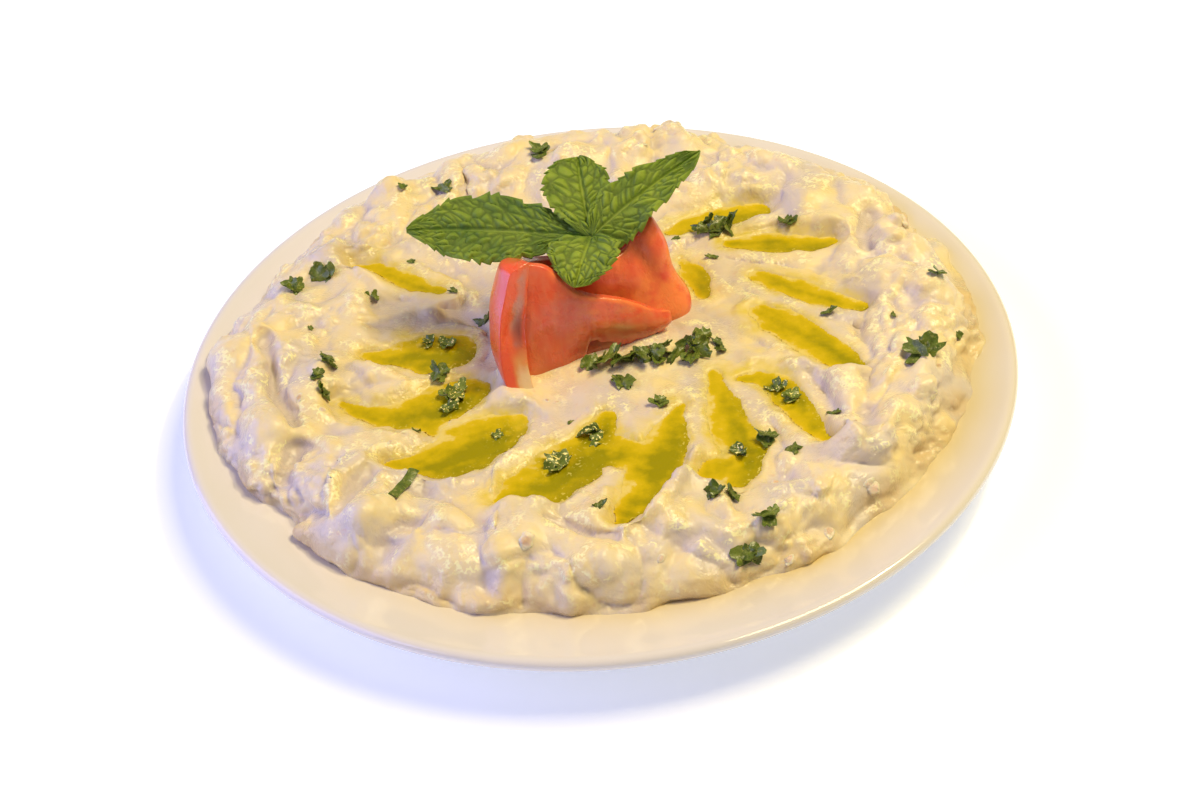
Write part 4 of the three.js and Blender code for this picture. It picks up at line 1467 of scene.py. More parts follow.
@dataclass
class DipSpread:
    """The dip itself, one closed piece."""

    form: DipForm
    cells: int = 288
    side_cells: float = 0.2
    bury: float = 0.15
    # Pillows and wrinkles are rows of (size, shift, lift).
    pillows: tuple[Row, ...] = ((19.0, 2.7, 4.0), (9.5, 7.9, 2.2))
    pillow_mean: float = 0.38
    flank_squeeze: float = 1.7
    smooth_side: float = 262.0
    smooth_spread: float = 46.0
    calmed: float = 0.7
    calm_least: float = 0.3
    warp: float = 1.8
    warp_size: float = 6.0
    warp_shifts: Place = (11.0, 23.0, 37.0)
    pulp_size: float = 5.0
    pulp_shift: float = 4.0
    pulp_lift: float = 1.5
    pulp_mean: float = 0.35
    wrinkle_rows: tuple[Row, ...] = ((5.2, 61.0, 1.1), (2.6, 67.0, 0.5))
    wrinkle_mean: float = 0.22
    edge_growth: Pair = (0.4, 1.15)
    growth_shares: Pair = (0.35, 0.84)
    pool_margin: Pair = (-0.5, 4.0)
    foot_noise: tuple[Row, ...] = ((9.0, 3.1, 1.6), (3.6, 8.2, 0.7))
    floor_noise: tuple[Row, ...] = ((8.0, 5.0, 0.7), (3.0, 1.0, 0.35))
    skirt: float = 0.75
    skirt_side: float = 336.0
    skirt_spread: float = 72.0
    # Reach in cells and depth in millimetres of the painted shade in hollows.
    hollow_reach: int = 7
    hollow_depth: float = 1.5
    pit_depth: float = 0.9
    sharp_foot: float = 85.0
    stain_reach: float = 2.6
    blot_reach: float = 7.0
    turned_patches: Patches = Patches(15.0, 55.0, -0.2, 0.2)
    lumpy_patches: Patches = Patches(20.0, 15.0, -0.3, 0.35)
    cool_patches: Patches = Patches(13.0, 47.0, -0.25, 0.35)
    foot_patches: Patches = Patches(9.0, 71.0, -0.6, 0.3)
    blots: Patches = Patches(13.0, 31.0, 0.05, 0.45)
    film_patches: Patches = Patches(4.0, 35.0, -0.5, 0.3)
    films: tuple[Row, ...] = ((44, 12, 9, 2.6), (50, -13, 8, 5), (58, -19, 5, 5))

    def build(self) -> Piece:
        """Lay the grid over the disc, raise it, add its relief and close it below.

        Returns:
            The dip.
        """
        dip = add_grid("dip_spread", self.cells, self.cells)
        angle, share, phase = self.disc(read_points(dip))
        points, nearest, dam = self.raised(angle, share, phase)
        write_points(dip, points * MM)
        self.roughen(dip, angle, share, phase, nearest, dam)
        self.close_below(dip)
        shade_smooth(dip, self.sharp_foot)
        return dip

    def disc(self, flat: Array) -> tuple[Array, Array, Array]:
        """Map the square grid to the dip's disc.

        Args:
            flat: The grid's points, from -1 to 1.

        Returns:
            The direction in degrees, the share of the reach, and how far the edge
            has turned down, from 0 to a right angle.
        """
        a, b = flat[:, 0], flat[:, 1]
        wide = np.abs(a) > np.abs(b)
        safe_a, safe_b = np.where(wide, a, 1.0), np.where(wide | (b == 0), 1.0, b)
        radial = np.where(wide, a, b)
        turn = np.where(wide, np.pi / 4 * b / safe_a, np.pi / 2 - np.pi / 4 * a / safe_b)
        turn = np.where(radial < 0, turn + np.pi, turn)
        radial = np.abs(radial)
        start = 1.0 - self.side_cells
        phase = np.clip((radial - start) / self.side_cells, 0, 1) * np.pi / 2
        side_start = self.form.side_start
        angle = np.degrees(turn)
        soft = self.skirt * bell(turn_between(self.skirt_side, angle), self.skirt_spread)
        turned = mix(np.sin(phase), phase / (np.pi / 2), soft)
        share = np.where(radial < start, radial / start * side_start, mix(side_start, 1.0, turned))
        return angle, share, phase

    def raised(self, angle: Array, share: Array, phase: Array) -> tuple[Array, Array, Array]:
        """Raise the disc to the dip's form.

        Args:
            angle: Directions in degrees.
            share: Shares of the reach.
            phase: How far the edge has turned down.

        Returns:
            The points, their distance to the nearest pool, and the height that holds
            its oil in.
        """
        form = self.form
        turn = np.radians(angle)
        foot = np.stack([np.cos(turn), np.sin(turn), np.zeros(turn.shape)], 1) * 100.0
        wander = layered(foot, self.foot_noise) * smooth_step(0.9, 1.0, share)
        radius = share * form.reach(angle) + wander
        radius += form.apron(angle) * smooth_step(0.965, 1.0, share)
        x, y = radius * np.cos(turn), radius * np.sin(turn)
        floor = form.plate.top(radius) + GAP * smooth_step(1.0, 0.93, share)
        top = form.top_height(x, y) + form.features(x, y)
        height = floor + (top - floor) * np.cos(phase)
        flat = np.stack([x, y, np.zeros(x.shape)], 1)
        height, nearest, dam = form.with_pools(flat, height, layered(flat, self.floor_noise))
        height = np.where(share > 0.9995, form.plate.top(radius) - self.bury, height)
        return np.stack([x, y, height], 1), nearest, dam

    def wrinkles(self, points: Array) -> Array:
        """Height of the fine creases and drawn-up crests.

        Args:
            points: Places in millimetres, one row each.

        Returns:
            The heights.
        """
        turned = self.turned_patches.at(points) * 2.0 - 1.0
        height = np.zeros(len(points))
        for size, shift, lift in self.wrinkle_rows:
            height += lift * turned * (np.abs(noise_at(points, size, shift)) - self.wrinkle_mean)
        return height

    def roughen(
        self, dip: Piece, angle: Array, share: Array, phase: Array, nearest: Array, dam: Array
    ) -> None:
        """Push folds, lumps and wrinkles out along the surface's own direction.

        Args:
            dip: The open dip.
            angle: Directions in degrees.
            share: Shares of the reach.
            phase: How far the edge has turned down.
            nearest: Distances to the nearest pool.
            dam: The heights that hold the oil in.
        """
        points = read_points(dip) / MM
        directions = np.empty(len(points) * 3)
        dip.data.vertices.foreach_get("normal", directions)
        directions = directions.reshape(-1, 3)
        growth = mix(*self.edge_growth, smooth_step(*self.growth_shares, share))
        clear = smooth_step(*self.pool_margin, nearest)
        foot = smooth_step(0.0, 0.14, np.cos(phase))
        calm = bell(turn_between(self.smooth_side, angle), self.smooth_spread)
        lumpy = self.lumpy_patches.at(points) * (1 - self.calmed * calm)
        squeezed = points * (1, 1, self.flank_squeeze)
        large, middle = (
            lift * (pillows_at(squeezed, size, shift) - self.pillow_mean)
            for size, shift, lift in self.pillows
        )
        bends = [noise_at(points, self.warp_size, shift) for shift in self.warp_shifts]
        warped = squeezed + self.warp * np.stack(bends, 1)
        pulp = self.pulp_lift * (pulp_at(warped, self.pulp_size, self.pulp_shift) - self.pulp_mean)
        relief = large + pulp * lumpy + (middle + self.wrinkles(warped)) * mix(self.calm_least, 1.0, lumpy)
        points += directions * (relief * growth * clear * foot)[:, None]
        radius = np.hypot(points[:, 0], points[:, 1])
        heights = points[:, 2].reshape(self.cells + 1, self.cells + 1)
        pits = np.where(np.cos(phase) > 0.8, blurred(heights, 2).ravel() - self.pit_depth, -np.inf)
        lowest = np.maximum(np.maximum(dam, pits), self.form.plate.top(radius) - self.bury)
        points[:, 2] = np.maximum(points[:, 2], lowest)
        write_points(dip, points * MM)
        self.mark(dip, points, phase, nearest)

    def mark(self, dip: Piece, points: Array, phase: Array, nearest: Array) -> None:
        """Store painted shade in the dip's hollows and on its lower wall, painted glints on its crests, and
        where oil has stained it.

        Args:
            dip: The open dip.
            points: Its points in millimetres.
            phase: How far the edge has turned down.
            nearest: Distances to the nearest pool.
        """
        side = self.cells + 1
        heights = points[:, 2].reshape(side, side)
        # Painted shade: darker where the dip lies below its neighbours, in hollows and creases.
        below = (blurred(heights, self.hollow_reach) - heights).ravel()
        near = (blurred(heights, 2) - heights).ravel()
        hollow = smooth_step(0.1, self.hollow_depth, below) + 0.6 * smooth_step(0.08, 0.55, near)
        # Where the dip stands above its neighbours, for its painted glints; fewer on the turned-down edge.
        crest = smooth_step(-0.1, 0.35, (heights - blurred(heights, 4)).ravel())
        on_top = smooth_step(0.5, 0.9, np.cos(phase))
        store(dip, "crest", crest * mix(0.3, 1.0, on_top))
        # More painted shade, in patches round the middle.
        centre = smooth_step(0.75, 0.4, np.hypot(points[:, 0], points[:, 1]) / self.form.reach_mean)
        hollow += 0.7 * centre * self.cool_patches.at(points)
        store(dip, "hollow", np.clip(hollow, 0, 1) * mix(0.35, 1.0, on_top))
        # Painted shade in patches on the lower part of the wall.
        foot = smooth_step(0.68, 0.25, np.cos(phase)) * self.foot_patches.at(points)
        store(dip, "foot", 0.72 * foot)
        side = mix(1.0, 0.4, smooth_step(-0.3, 0.6, self.form.lee(points)))
        beyond = np.maximum(nearest - 0.9 + 0.9 * noise_at(points, 3.5, 33.0), 0.0)
        ring = np.exp(-beyond / (self.stain_reach * side)) * mix(0.6, 1.0, side)
        blots = self.blots.at(points) * np.exp(-np.maximum(nearest, 0) / self.blot_reach)
        stain = 0.9 * ring + 0.45 * blots
        for x, y, half_x, half_y in self.films:
            away = ((points[:, 0] - x) / half_x) ** 2 + ((points[:, 1] - y) / half_y) ** 2
            stain += 0.4 * np.exp(-away) * self.film_patches.at(points)
        store(dip, "stain", np.clip(stain, 0, 1))

    def close_below(self, dip: Piece) -> None:
        """Close the dip with a bottom that lies just inside the plate.

        Args:
            dip: The open dip.
        """
        form = self.form
        activate(dip)
        edit(Elements.EDGES, everything=False)
        bpy.ops.mesh.select_non_manifold()
        bpy.ops.mesh.extrude_edges_move()
        leave_edit()
        ring = picked(dip)
        points = read_points(dip)
        radius = np.hypot(points[:, 0], points[:, 1])
        points[ring, :2] *= (form.plate.well_radius * MM / radius[ring])[:, None]
        points[ring, 2] = (form.plate.well_level - self.bury) * MM
        write_points(dip, points)
        edit()
        bpy.ops.mesh.extrude_edges_move()
        bpy.ops.mesh.merge(type="CENTER")
        leave_edit()
        face_outwards(dip)


class Surface:
    """Looks down on a piece and says how high it stands at a place."""

    above: Vector = Vector((0, 0, 0.2))
    down: Vector = Vector((0, 0, -1))

    def __init__(self, piece: Piece, plate: PlateWare) -> None:
        """Take the piece's mesh as it is now, and the plate beside it.

        Args:
            piece: The finished piece.
            plate: The plate.
        """
        self.plate = plate
        polygons = [tuple(p.vertices) for p in piece.data.polygons]
        self.tree = BVHTree.FromPolygons([v.co.copy() for v in piece.data.vertices], polygons)

    def below(self, x: float, y: float) -> tuple:
        """What a ray meets that falls at a place."""
        return self.tree.ray_cast(Vector((x * MM, y * MM, 0)) + self.above, self.down)

    def height(self, x: float, y: float) -> float:
        """Height in millimetres at a place, on the piece or on the plate beside it."""
        hit = self.below(x, y)
        return hit[0].z / MM if hit[0] else float(self.plate.top(math.hypot(x, y)))

    def tilt(self, x: float, y: float) -> Vector:
        """Direction in which the surface faces at a place."""
        hit = self.below(x, y)
        return hit[1] if hit[0] else -self.down


# ---------------- oil


@dataclass
class OilPools:
    """The pools of oil, each a closed piece that reaches just into the dip."""

    form: DipForm
    cell: float = 0.6
    margin: float = 4.5
    reach: float = 2.2
    hidden_rim: float = 0.3
    streak: float = 1.1
    lee_painted_shade: float = 1.2
    bury: float = 0.15
    creep: float = 0.08
    creep_reach: float = 0.4
    ripple: float = 0.06
    streak_squeeze: float = 0.22
    darkening_patches: Patches = Patches(2.6, 8.0, -0.4, 0.4)
    bank_painted_shade: float = 0.5

    def build(self, pool: Pool, surface: Surface) -> Piece:
        """Lay a sheet over a pool, keep what the dip leaves free and close it.

        Args:
            pool: The pool.
            surface: The finished dip.

        Returns:
            The oil, with its depth stored and deepened by painted shade on its lee side, and how dark it is
            round the parsley and with painted shade along its banks.
        """
        stations = np.array([s for branch in pool.branches for s in branch], float)
        low = (stations[:, :2] - stations[:, 2:]).min(0) - self.margin
        high = (stations[:, :2] + stations[:, 2:]).max(0) + self.margin
        columns, rows = (int(math.ceil(size / self.cell)) for size in high - low)
        oil = add_grid(pool.name + "_sheet", rows, columns)
        share = (read_points(oil)[:, :2] + 1) / 2
        places = low + share * (high - low)
        floor = np.array([surface.height(x, y) for x, y in places])
        level = self.form.levels[pool.name]
        depth = level - floor
        level_places = np.stack([*places.T, floor * 0], 1)
        away, _, _ = pool.distance(places[:, 0], places[:, 1], self.form.pool_wander(level_places))
        thinned = smooth_step(0.1, 1.0, away / self.reach) * (np.maximum(depth, 0.0) + self.hidden_rim + 0.05)
        depth = depth - thinned
        wet = (depth > -self.hidden_rim) & (away < self.reach)
        rise = self.creep * np.exp(-np.maximum(depth, 0.0) / self.creep_reach)
        ripple = self.ripple * noise_at(level_places, 6.0, 2.0)
        lee = self.form.lee(level_places)
        top = np.stack([*places.T, level - thinned + rise + ripple], 1)
        write_points(oil, top * MM)
        run = stations[-1, :2] - stations[0, :2]
        run /= np.linalg.norm(run)
        turned = np.stack([places @ run * self.streak_squeeze, places @ (run[1], -run[0]), floor * 0], 1)
        # Painted shade: the stored depth is deepened on each pool's lee side, beyond the trough's real depth.
        depth_and_lee_shade = np.maximum(depth, 0.0) * (1.0 + 0.5 * lee) + self.lee_painted_shade * np.maximum(lee, 0.0)
        inside = smooth_step(0.1, 1.2, depth)
        store(oil, "depth", depth_and_lee_shade + self.streak * inside * noise_at(turned, 2.4, 51.0))
        # Darker round the parsley in the oil.
        oil_darkening = np.zeros(len(places))
        for flake in OIL_FLAKES.get(pool.name, ()):
            apart = np.hypot(places[:, 0] - flake.x, places[:, 1] - flake.y)
            oil_darkening = np.maximum(oil_darkening, bell(apart, 0.65 * flake.length))
        patchy = self.darkening_patches.at(level_places)
        # Painted shade along the banks on each pool's lee side.
        painted_bank_shade = smooth_step(0.1, 0.9, lee) * smooth_step(1.8, 0.2, depth)
        store(oil, "oil_darkening", np.maximum(0.85 * oil_darkening * patchy, self.bank_painted_shade * painted_bank_shade))
        store(oil, "floor", np.minimum(floor, top[:, 2]) - self.bury)
        self.trim(oil, wet)
        self.close(oil)
        return oil

    def trim(self, oil: Piece, wet: Array) -> None:
        """Delete the cells of the sheet that have a dry corner.

        Args:
            oil: The sheet.
            wet: Which of its vertices are wet.
        """
        corners = np.empty(len(oil.data.loops), int)
        oil.data.loops.foreach_get("vertex_index", corners)
        dry = ~wet[corners].reshape(-1, 4).all(1)
        pick_faces(oil, dry)
        bpy.ops.mesh.delete(type="FACE")
        bpy.ops.mesh.select_all(action="SELECT")
        bpy.ops.mesh.delete_loose(use_verts=True, use_edges=True, use_faces=False)
        leave_edit()

    def close(self, oil: Piece) -> None:
        """Extrude the sheet down to the dip's floor.

        Args:
            oil: The sheet.
        """
        activate(oil)
        edit(Elements.FACES, everything=True)
        bpy.ops.mesh.extrude_region_move()
        leave_edit()
        lower = picked(oil)
        points = read_points(oil)
        points[lower, 2] = fetch(oil, "floor")[lower] * MM
        write_points(oil, points)
        face_outwards(oil)
        shade_smooth(oil, 50.0)


# ---------------- parsley


@dataclass(frozen=True)
class Flake:
    """One chopped flake: place, length, width, turn in degrees and lift above."""

    x: float
    y: float
    length: float
    width: float
    turn: float
    lift: float = 0.0


DIP_FLAKES = tuple(Flake(*row) for row in (
    (-12, 96, 8, 5, 80), (-43, 84, 8, 3, 70), (-83, 47, 9, 6, -20),
    (-92, 40, 7.5, 5.5, 10), (-67, 34, 5.5, 3.5, 60), (-80, 2, 8, 5, 80),
    (-82.5, -4.5, 5, 3.6, 40), (-81, -10, 6, 5, 120), (-47, -5, 7.5, 4.4, 0),
    (-3.5, -73, 4.4, 3.6, 0), (7, -17.5, 8.5, 5, 50), (17.5, -28, 5.5, 4, 70),
    (64, 50, 6.5, 4, 80), (46, -48, 9, 4, 45), (51, -55, 6, 5.5, 30),
    (28.5, -71, 6, 5, 20), (33.5, -70.5, 5, 4.5, 60), (42, -82.5, 8.5, 4.5, 5),
    (35.5, -90.5, 8, 6, 60), (92, -23, 12, 5.5, 15), (71, 6, 4, 3.2, 0),
    (105, 10, 5, 3, 60), (-33, 22, 7, 4.5, 80), (32, -0.5, 7.5, 4, 75),
    (36.5, -4.5, 6, 4, -40),
    (-57, 83, 3.6, 2.2, 30), (-55, 51, 3.2, 2.2, 0), (-42, 33, 4, 2.6, 20),
    (-54, -29, 2.6, 2, 0), (-9, -31, 2.4, 1.8, 50), (39, 39, 4, 2, 0),
    (28.7, 50.5, 3.4, 2, 10), (66, -40, 4.4, 3, 60), (107, -10, 3.2, 2.2, 80),
    (89, -2, 3, 1.4, -20), (-85.7, 20, 2.4, 1.6, 0),
))

OIL_FLAKES = {
    "oil_left_back": (Flake(-51, 11.5, 6, 3.5, 0), Flake(-44.5, 9.5, 6.5, 4.5, 0)),
    "oil_left_middle": (Flake(-42, -13.5, 9, 6.5, 20), Flake(-44, -19.5, 5.5, 4.5, 90)),
    "oil_left_front": (Flake(-30, -33, 5.5, 4.6, 20),),
    "oil_front": (Flake(-13.5, -49, 9, 5.5, -30), Flake(-3, -39, 8, 5.6, 63)),
    "oil_right_front": (Flake(37.2, -52.5, 6, 5, 80),),
    "oil_right_middle": (Flake(51, -25.5, 6, 4, -45), Flake(55.3, -31.6, 6, 5.4, 0)),
}

# Each heap is (x, y, half size along X, half size along Y, number of flakes).
HEAPS = (
    (4.0, -8.6, 7.0, 1.2, 8),
    (22.0, -7.4, 11.0, 2.2, 17),
    (29.0, -3.5, 2.6, 2.0, 5),
    (42.0, 52.0, 5.2, 2.4, 12),
)


@dataclass
class ParsleyScatter:
    """Chopped parsley: every flake is a few curled, notched scraps of leaf."""

    seed: int = 2203
    pattern_count: int = 9
    corners: int = 14
    thickness: float = 0.3
    scrap_radius: float = 0.58
    flipped_share: float = 0.3
    first_rise: float = 0.4
    next_rise: float = 0.55
    widened: float = 1.25
    float_depth: float = 0.2
    dip_painted_glints: float = 0.15
    heap_flake: Pair = (5.5, 9.5)
    heap_rise: Pair = (0.6, 2.6)
    heap_lean: float = 1.4
    # The stalk is (x, y, length, width, turn).
    stalk: Row = (-57.0, -56.0, 13.0, 2.8, 62.0)
    patterns: list[Piece] = field(default_factory=list)

    def __post_init__(self) -> None:
        """Start the scatter's own draws and cut its patterns."""
        self.draws = Draws(self.seed)
        self.patterns = [self.pattern() for _ in range(self.pattern_count)]

    def pattern(self) -> Piece:
        """Cut one scrap of leaf, one unit long, and curl it.

        Returns:
            The scrap: a few teeth, one straight cut side and a ruffled edge.
        """
        draws = self.draws
        deselect()
        bpy.ops.mesh.primitive_circle_add(vertices=self.corners, radius=1.0, fill_type="TRIFAN")
        edit(everything=True)
        bpy.ops.mesh.subdivide(number_cuts=1)
        leave_edit()
        scrap = bpy.context.object
        points = read_points(scrap)
        angle = np.arctan2(points[:, 1], points[:, 0])
        radius = np.hypot(points[:, 0], points[:, 1])
        turns = [ROUGH_TURN * draws.next() for _ in range(4)]
        outline = 0.8 + 0.15 * np.cos(2 * angle + turns[0]) + 0.13 * np.cos(3 * angle + turns[1])
        teeth = 0.22 * ((angle * 5 / ROUGH_TURN + turns[2]) % 1.0 - 0.5) + 0.07 * np.cos(7 * angle + turns[3])
        radius = radius * (outline + teeth) * self.scrap_radius
        x, y = radius * np.cos(angle), radius * np.sin(angle)
        over = np.maximum(0.0, x * math.cos(turns[3]) + y * math.sin(turns[3]) - draws.between(0.16, 0.34))
        x, y = x - over * math.cos(turns[3]), y - over * math.sin(turns[3])
        curl, crease, roll = draws.between(-0.9, 1.1), draws.between(0.1, 1.0), draws.between(-0.7, 0.7)
        z = curl * x * x + crease * np.abs(y) * 0.6 + roll * x * y
        z += 0.16 * radius * np.sin(5 * angle + turns[1])
        write_points(scrap, np.stack([x, y, z], 1))
        middle = bell(y, 0.05)
        store(scrap, "rib", 0.45 * middle + 0.4 * draws.next() ** 3)
        store(scrap, "crease", 0.6 * smooth_step(0.3, 0.05, radius) * (1 - middle))
        # Lighter where the scrap rises: painted light, over a random tone.
        store(scrap, "top", np.clip(draws.between(-0.2, 0.8) + 0.8 * z / 0.3, 0, 1))
        return scrap

    def scrap(self, centre: Vector, length: float, width: float, turn: float, tilt: Vector) -> Piece:
        """Lay down a copy of one of the patterns.

        Args:
            centre: Its middle, in millimetres.
            length: Along its longer way.
            width: Across it.
            turn: Degrees about the surface's direction.
            tilt: The direction that its face points to.

        Returns:
            The scrap as an open sheet.
        """
        chosen = self.patterns[int(self.draws.next() * self.pattern_count) % self.pattern_count]
        scrap = chosen.copy()
        scrap.data = chosen.data.copy()
        bpy.context.scene.collection.objects.link(scrap)
        flip = -1.0 if self.draws.next() < self.flipped_share else 1.0
        points = read_points(scrap) * (length, width, 0.8 * width * flip)
        frame = tilt.normalized().to_track_quat("Z", "Y").to_matrix()
        spin = frame @ Matrix.Rotation(math.radians(turn), 3, "Z")
        write_points(scrap, (points @ np.array(spin).T + np.array(centre)) * MM)
        return scrap

    def flake(self, flake: Flake, height: float, facing: Vector) -> list[Piece]:
        """Scraps of one flake, lying on what carries it.

        Args:
            flake: The flake.
            height: The height of what carries it.
            facing: The direction that this faces.

        Returns:
            The scraps.
        """
        draws = self.draws
        count = 1 if flake.length < 4.5 else 2 if flake.length < 7.5 else 3
        turn = math.radians(flake.turn)
        made = []
        for index in range(count):
            slide = draws.between(-0.22, 0.22) * flake.length * (count > 1)
            aside = draws.between(-0.2, 0.2) * flake.width * (count > 1)
            rise = flake.lift + self.first_rise + self.next_rise * index
            place_x = flake.x + slide * math.cos(turn) - aside * math.sin(turn)
            place_y = flake.y + slide * math.sin(turn) + aside * math.cos(turn)
            centre = Vector((place_x, place_y, height + rise))
            lean = Vector((draws.between(-0.5, 0.5), draws.between(-0.5, 0.5), 0)) * (0.5 + index * 0.4)
            size = draws.between(0.85, 1.1) if index == 0 else draws.between(0.6, 0.9)
            width = flake.width * size * self.widened
            spin = flake.turn + draws.between(-30, 30) + 70 * index
            made.append(self.scrap(centre, flake.length * size, width, spin, facing + lean))
        return made

    def heap(self, heap: Row, surface: Surface) -> list[Piece]:
        """Scraps heaped on each other inside an oval.

        Args:
            heap: Centre, half sizes and number of flakes.
            surface: What the heap lies on.

        Returns:
            The scraps.
        """
        x, y, half_x, half_y, count = heap
        draws = self.draws
        made = []
        for index in range(int(count)):
            place_x = x + half_x * (2 * (index + draws.next()) / count - 1)
            place_y = y + half_y * draws.between(-1.0, 1.0)
            length = draws.between(*self.heap_flake)
            rise = self.heap_rise[0] + self.heap_rise[1] * draws.next()
            centre = Vector((place_x, place_y, surface.height(place_x, place_y) + rise))
            leans = [draws.between(-self.heap_lean, self.heap_lean) for _ in range(2)]
            lean = Vector((*leans, 0.8))
            width = length * draws.between(0.3, 0.7)
            made.append(self.scrap(centre, length, width, 360 * draws.next(), lean))
        return made

    def cut_stalk(self, surface: Surface) -> Piece:
        """One flat cut stalk that lies on a slope of the dip.

        Args:
            surface: The dip.

        Returns:
            The stalk as an open sheet.
        """
        x, y, length, width, turn = self.stalk
        stalk = add_grid("stalk", 12, 3)
        flat = read_points(stalk)
        angle = math.radians(turn)
        along, across = flat[:, 1] * length / 2, flat[:, 0] * width / 2
        place_x = x + along * math.cos(angle) - across * math.sin(angle)
        place_y = y + along * math.sin(angle) + across * math.cos(angle)
        heights = np.array([surface.height(a, b) for a, b in zip(place_x, place_y)])
        level = heights.max() + 0.25 - 0.35 * flat[:, 0] ** 2
        settled = mix(level, heights + 0.35, 0.6)
        write_points(stalk, np.stack([place_x, place_y, settled], 1) * MM)
        store(stalk, "rib", 0.3 * (1 - np.abs(flat[:, 0])))
        store(stalk, "crease", np.zeros(len(flat)))
        store(stalk, "top", 0.2 + 0.3 * flat[:, 0] ** 2)
        return stalk

    def finish(self, scraps: list[Piece], name: str, wet: float) -> Piece:
        """Join scraps, give them their thickness and turn them outwards.

        Args:
            scraps: The scraps.
            name: The name of the piece.
            wet: How much of it carries painted glints.

        Returns:
            The piece.
        """
        whole = join(scraps, name)
        store(whole, "wet", np.full(len(whole.data.vertices), wet))
        solid = whole.modifiers.new("thickness", "SOLIDIFY")
        solid.thickness = self.thickness * MM
        solid.offset = 0.0
        apply_modifiers(whole)
        face_outwards(whole)
        shade_smooth(whole, 60.0)
        return whole

    def on_dip(self, surface: Surface) -> Piece:
        """All the parsley that lies on the dip.

        Args:
            surface: The dip.

        Returns:
            The piece.
        """
        scraps = [self.cut_stalk(surface)]
        for flake in DIP_FLAKES:
            scraps += self.flake(flake, surface.height(flake.x, flake.y), surface.tilt(flake.x, flake.y))
        for heap in HEAPS:
            scraps += self.heap(heap, surface)
        return self.finish(scraps, "parsley_on_dip", self.dip_painted_glints)

    def on_oil(self, levels: dict[str, float]) -> Piece:
        """All the parsley that floats on the oil.

        Args:
            levels: The level of each pool.

        Returns:
            The piece.
        """
        scraps = []
        for name, flakes in OIL_FLAKES.items():
            for flake in flakes:
                scraps += self.flake(flake, levels[name] - self.float_depth, Vector((0, 0, 1)))
        return self.finish(scraps, "parsley_on_oil", 1.0)

    def clear_patterns(self) -> None:
        """Remove the patterns, of which only copies stay in the scene."""
        for pattern in self.patterns:
            bpy.data.objects.remove(pattern, do_unlink=True)
        self.patterns.clear()


# ---------------- bits of pulp


@dataclass
class PulpBits:
    """Small browned and pinkish bits, half sunk in the dip."""

    seed: int = 577
    # Each named bit is (x, y, size).
    named: tuple[Row, ...] = (
        (-23.8, -84.7, 2.6), (58.4, -82.7, 2.2), (10.0, -45.8, 1.5), (45.9, -66.1, 1.8),
        (-15.6, -21.5, 1.1), (-12.9, -22.6, 0.9), (71.1, -70.0, 1.6), (-87.8, -13.7, 1.4),
        (-81.2, -18.4, 1.2), (72.5, -70.5, 2.2), (100.0, 44.0, 2.6), (46.5, -91.0, 1.5),
        (11.7, -91.9, 1.4), (98.0, -28.0, 1.5),
    )
    scattered: int = 8
    ring: Pair = (0.55, 0.92)
    sizes: Pair = (0.7, 1.7)
    flatness: float = 0.4
    sunk: float = 0.22

    def bit(self, x: float, y: float, size: float, surface: Surface, draws: Draws) -> Piece:
        """One uneven bit.

        Args:
            x: Its place along X.
            y: Its place along Y.
            size: Its mean radius.
            surface: The dip.
            draws: The row of draws for its shape.

        Returns:
            The bit.
        """
        deselect()
        bpy.ops.mesh.primitive_ico_sphere_add(subdivisions=3, radius=1.0)
        bit = bpy.context.object
        points = read_points(bit)
        rim = np.hypot(points[:, 0], points[:, 1])
        uneven = 1 + 0.35 * noise_at(points * 3, 2.0, 50 * draws.next())
        stretch = np.array([draws.between(0.9, 1.5), draws.between(0.7, 1.0), self.flatness])
        points = points * uneven[:, None] * stretch * size
        store(bit, "rim", smooth_step(0.3, 0.8, rim))
        frame = surface.tilt(x, y).to_track_quat("Z", "Y").to_matrix()
        spin = np.array(frame @ Matrix.Rotation(ROUGH_TURN * draws.next(), 3, "Z"))
        centre = np.array([x, y, surface.height(x, y) - self.sunk * size])
        write_points(bit, (points @ spin.T + centre) * MM)
        return bit

    def build(self, form: DipForm, surface: Surface) -> Piece:
        """All the bits as one piece.

        Args:
            form: Says how far the dip reaches.
            surface: The dip.

        Returns:
            The piece.
        """
        draws = Draws(self.seed)
        bits = [self.bit(x, y, size, surface, draws) for x, y, size in self.named]
        for _ in range(self.scattered):
            angle = 2 * math.pi * draws.next()
            radius = draws.between(*self.ring) * float(form.reach(np.array(math.degrees(angle))))
            size = draws.between(*self.sizes)
            bits.append(self.bit(radius * math.cos(angle), radius * math.sin(angle), size, surface, draws))
        whole = join(bits, "pulp_bits")
        shade_smooth(whole)
        return whole


# ---------------- tomato


@dataclass(frozen=True)
class Strip:
    """A curled strip of tomato wall, which stands for one solid.

    Its stations are (low xyz, high xyz, thickness); bow is how far its middle bulges,
    flesh_outside how much of its outer face is cut flesh, tear how ragged its lower
    edge is, lifts how far that edge stands off the dip along the strip, edge_thin and
    end_thin its thickness at its long edges and at its ends, hollow the depth of the
    seed hollow in its last cut, pinch the depth of the fold in its upper part, flare
    how far its foot turns out, lit how much painted light its skin carries, and dark
    how much painted shade it carries.
    """

    name: str
    node: str
    bow: float
    stations: tuple[Station, ...]
    flesh_outside: float = 0.0
    tear: float = 0.2
    lifts: tuple[Pair, ...] = ((0.0, 0.0), (1.0, 0.0))
    edge_thin: float = 0.5
    end_thin: float = 0.55
    skin_share: float = 0.2
    hollow: float = 0.0
    pinch: float = 0.0
    flare: float = 0.0
    lit: float = 0.5
    dark: float = 0.0


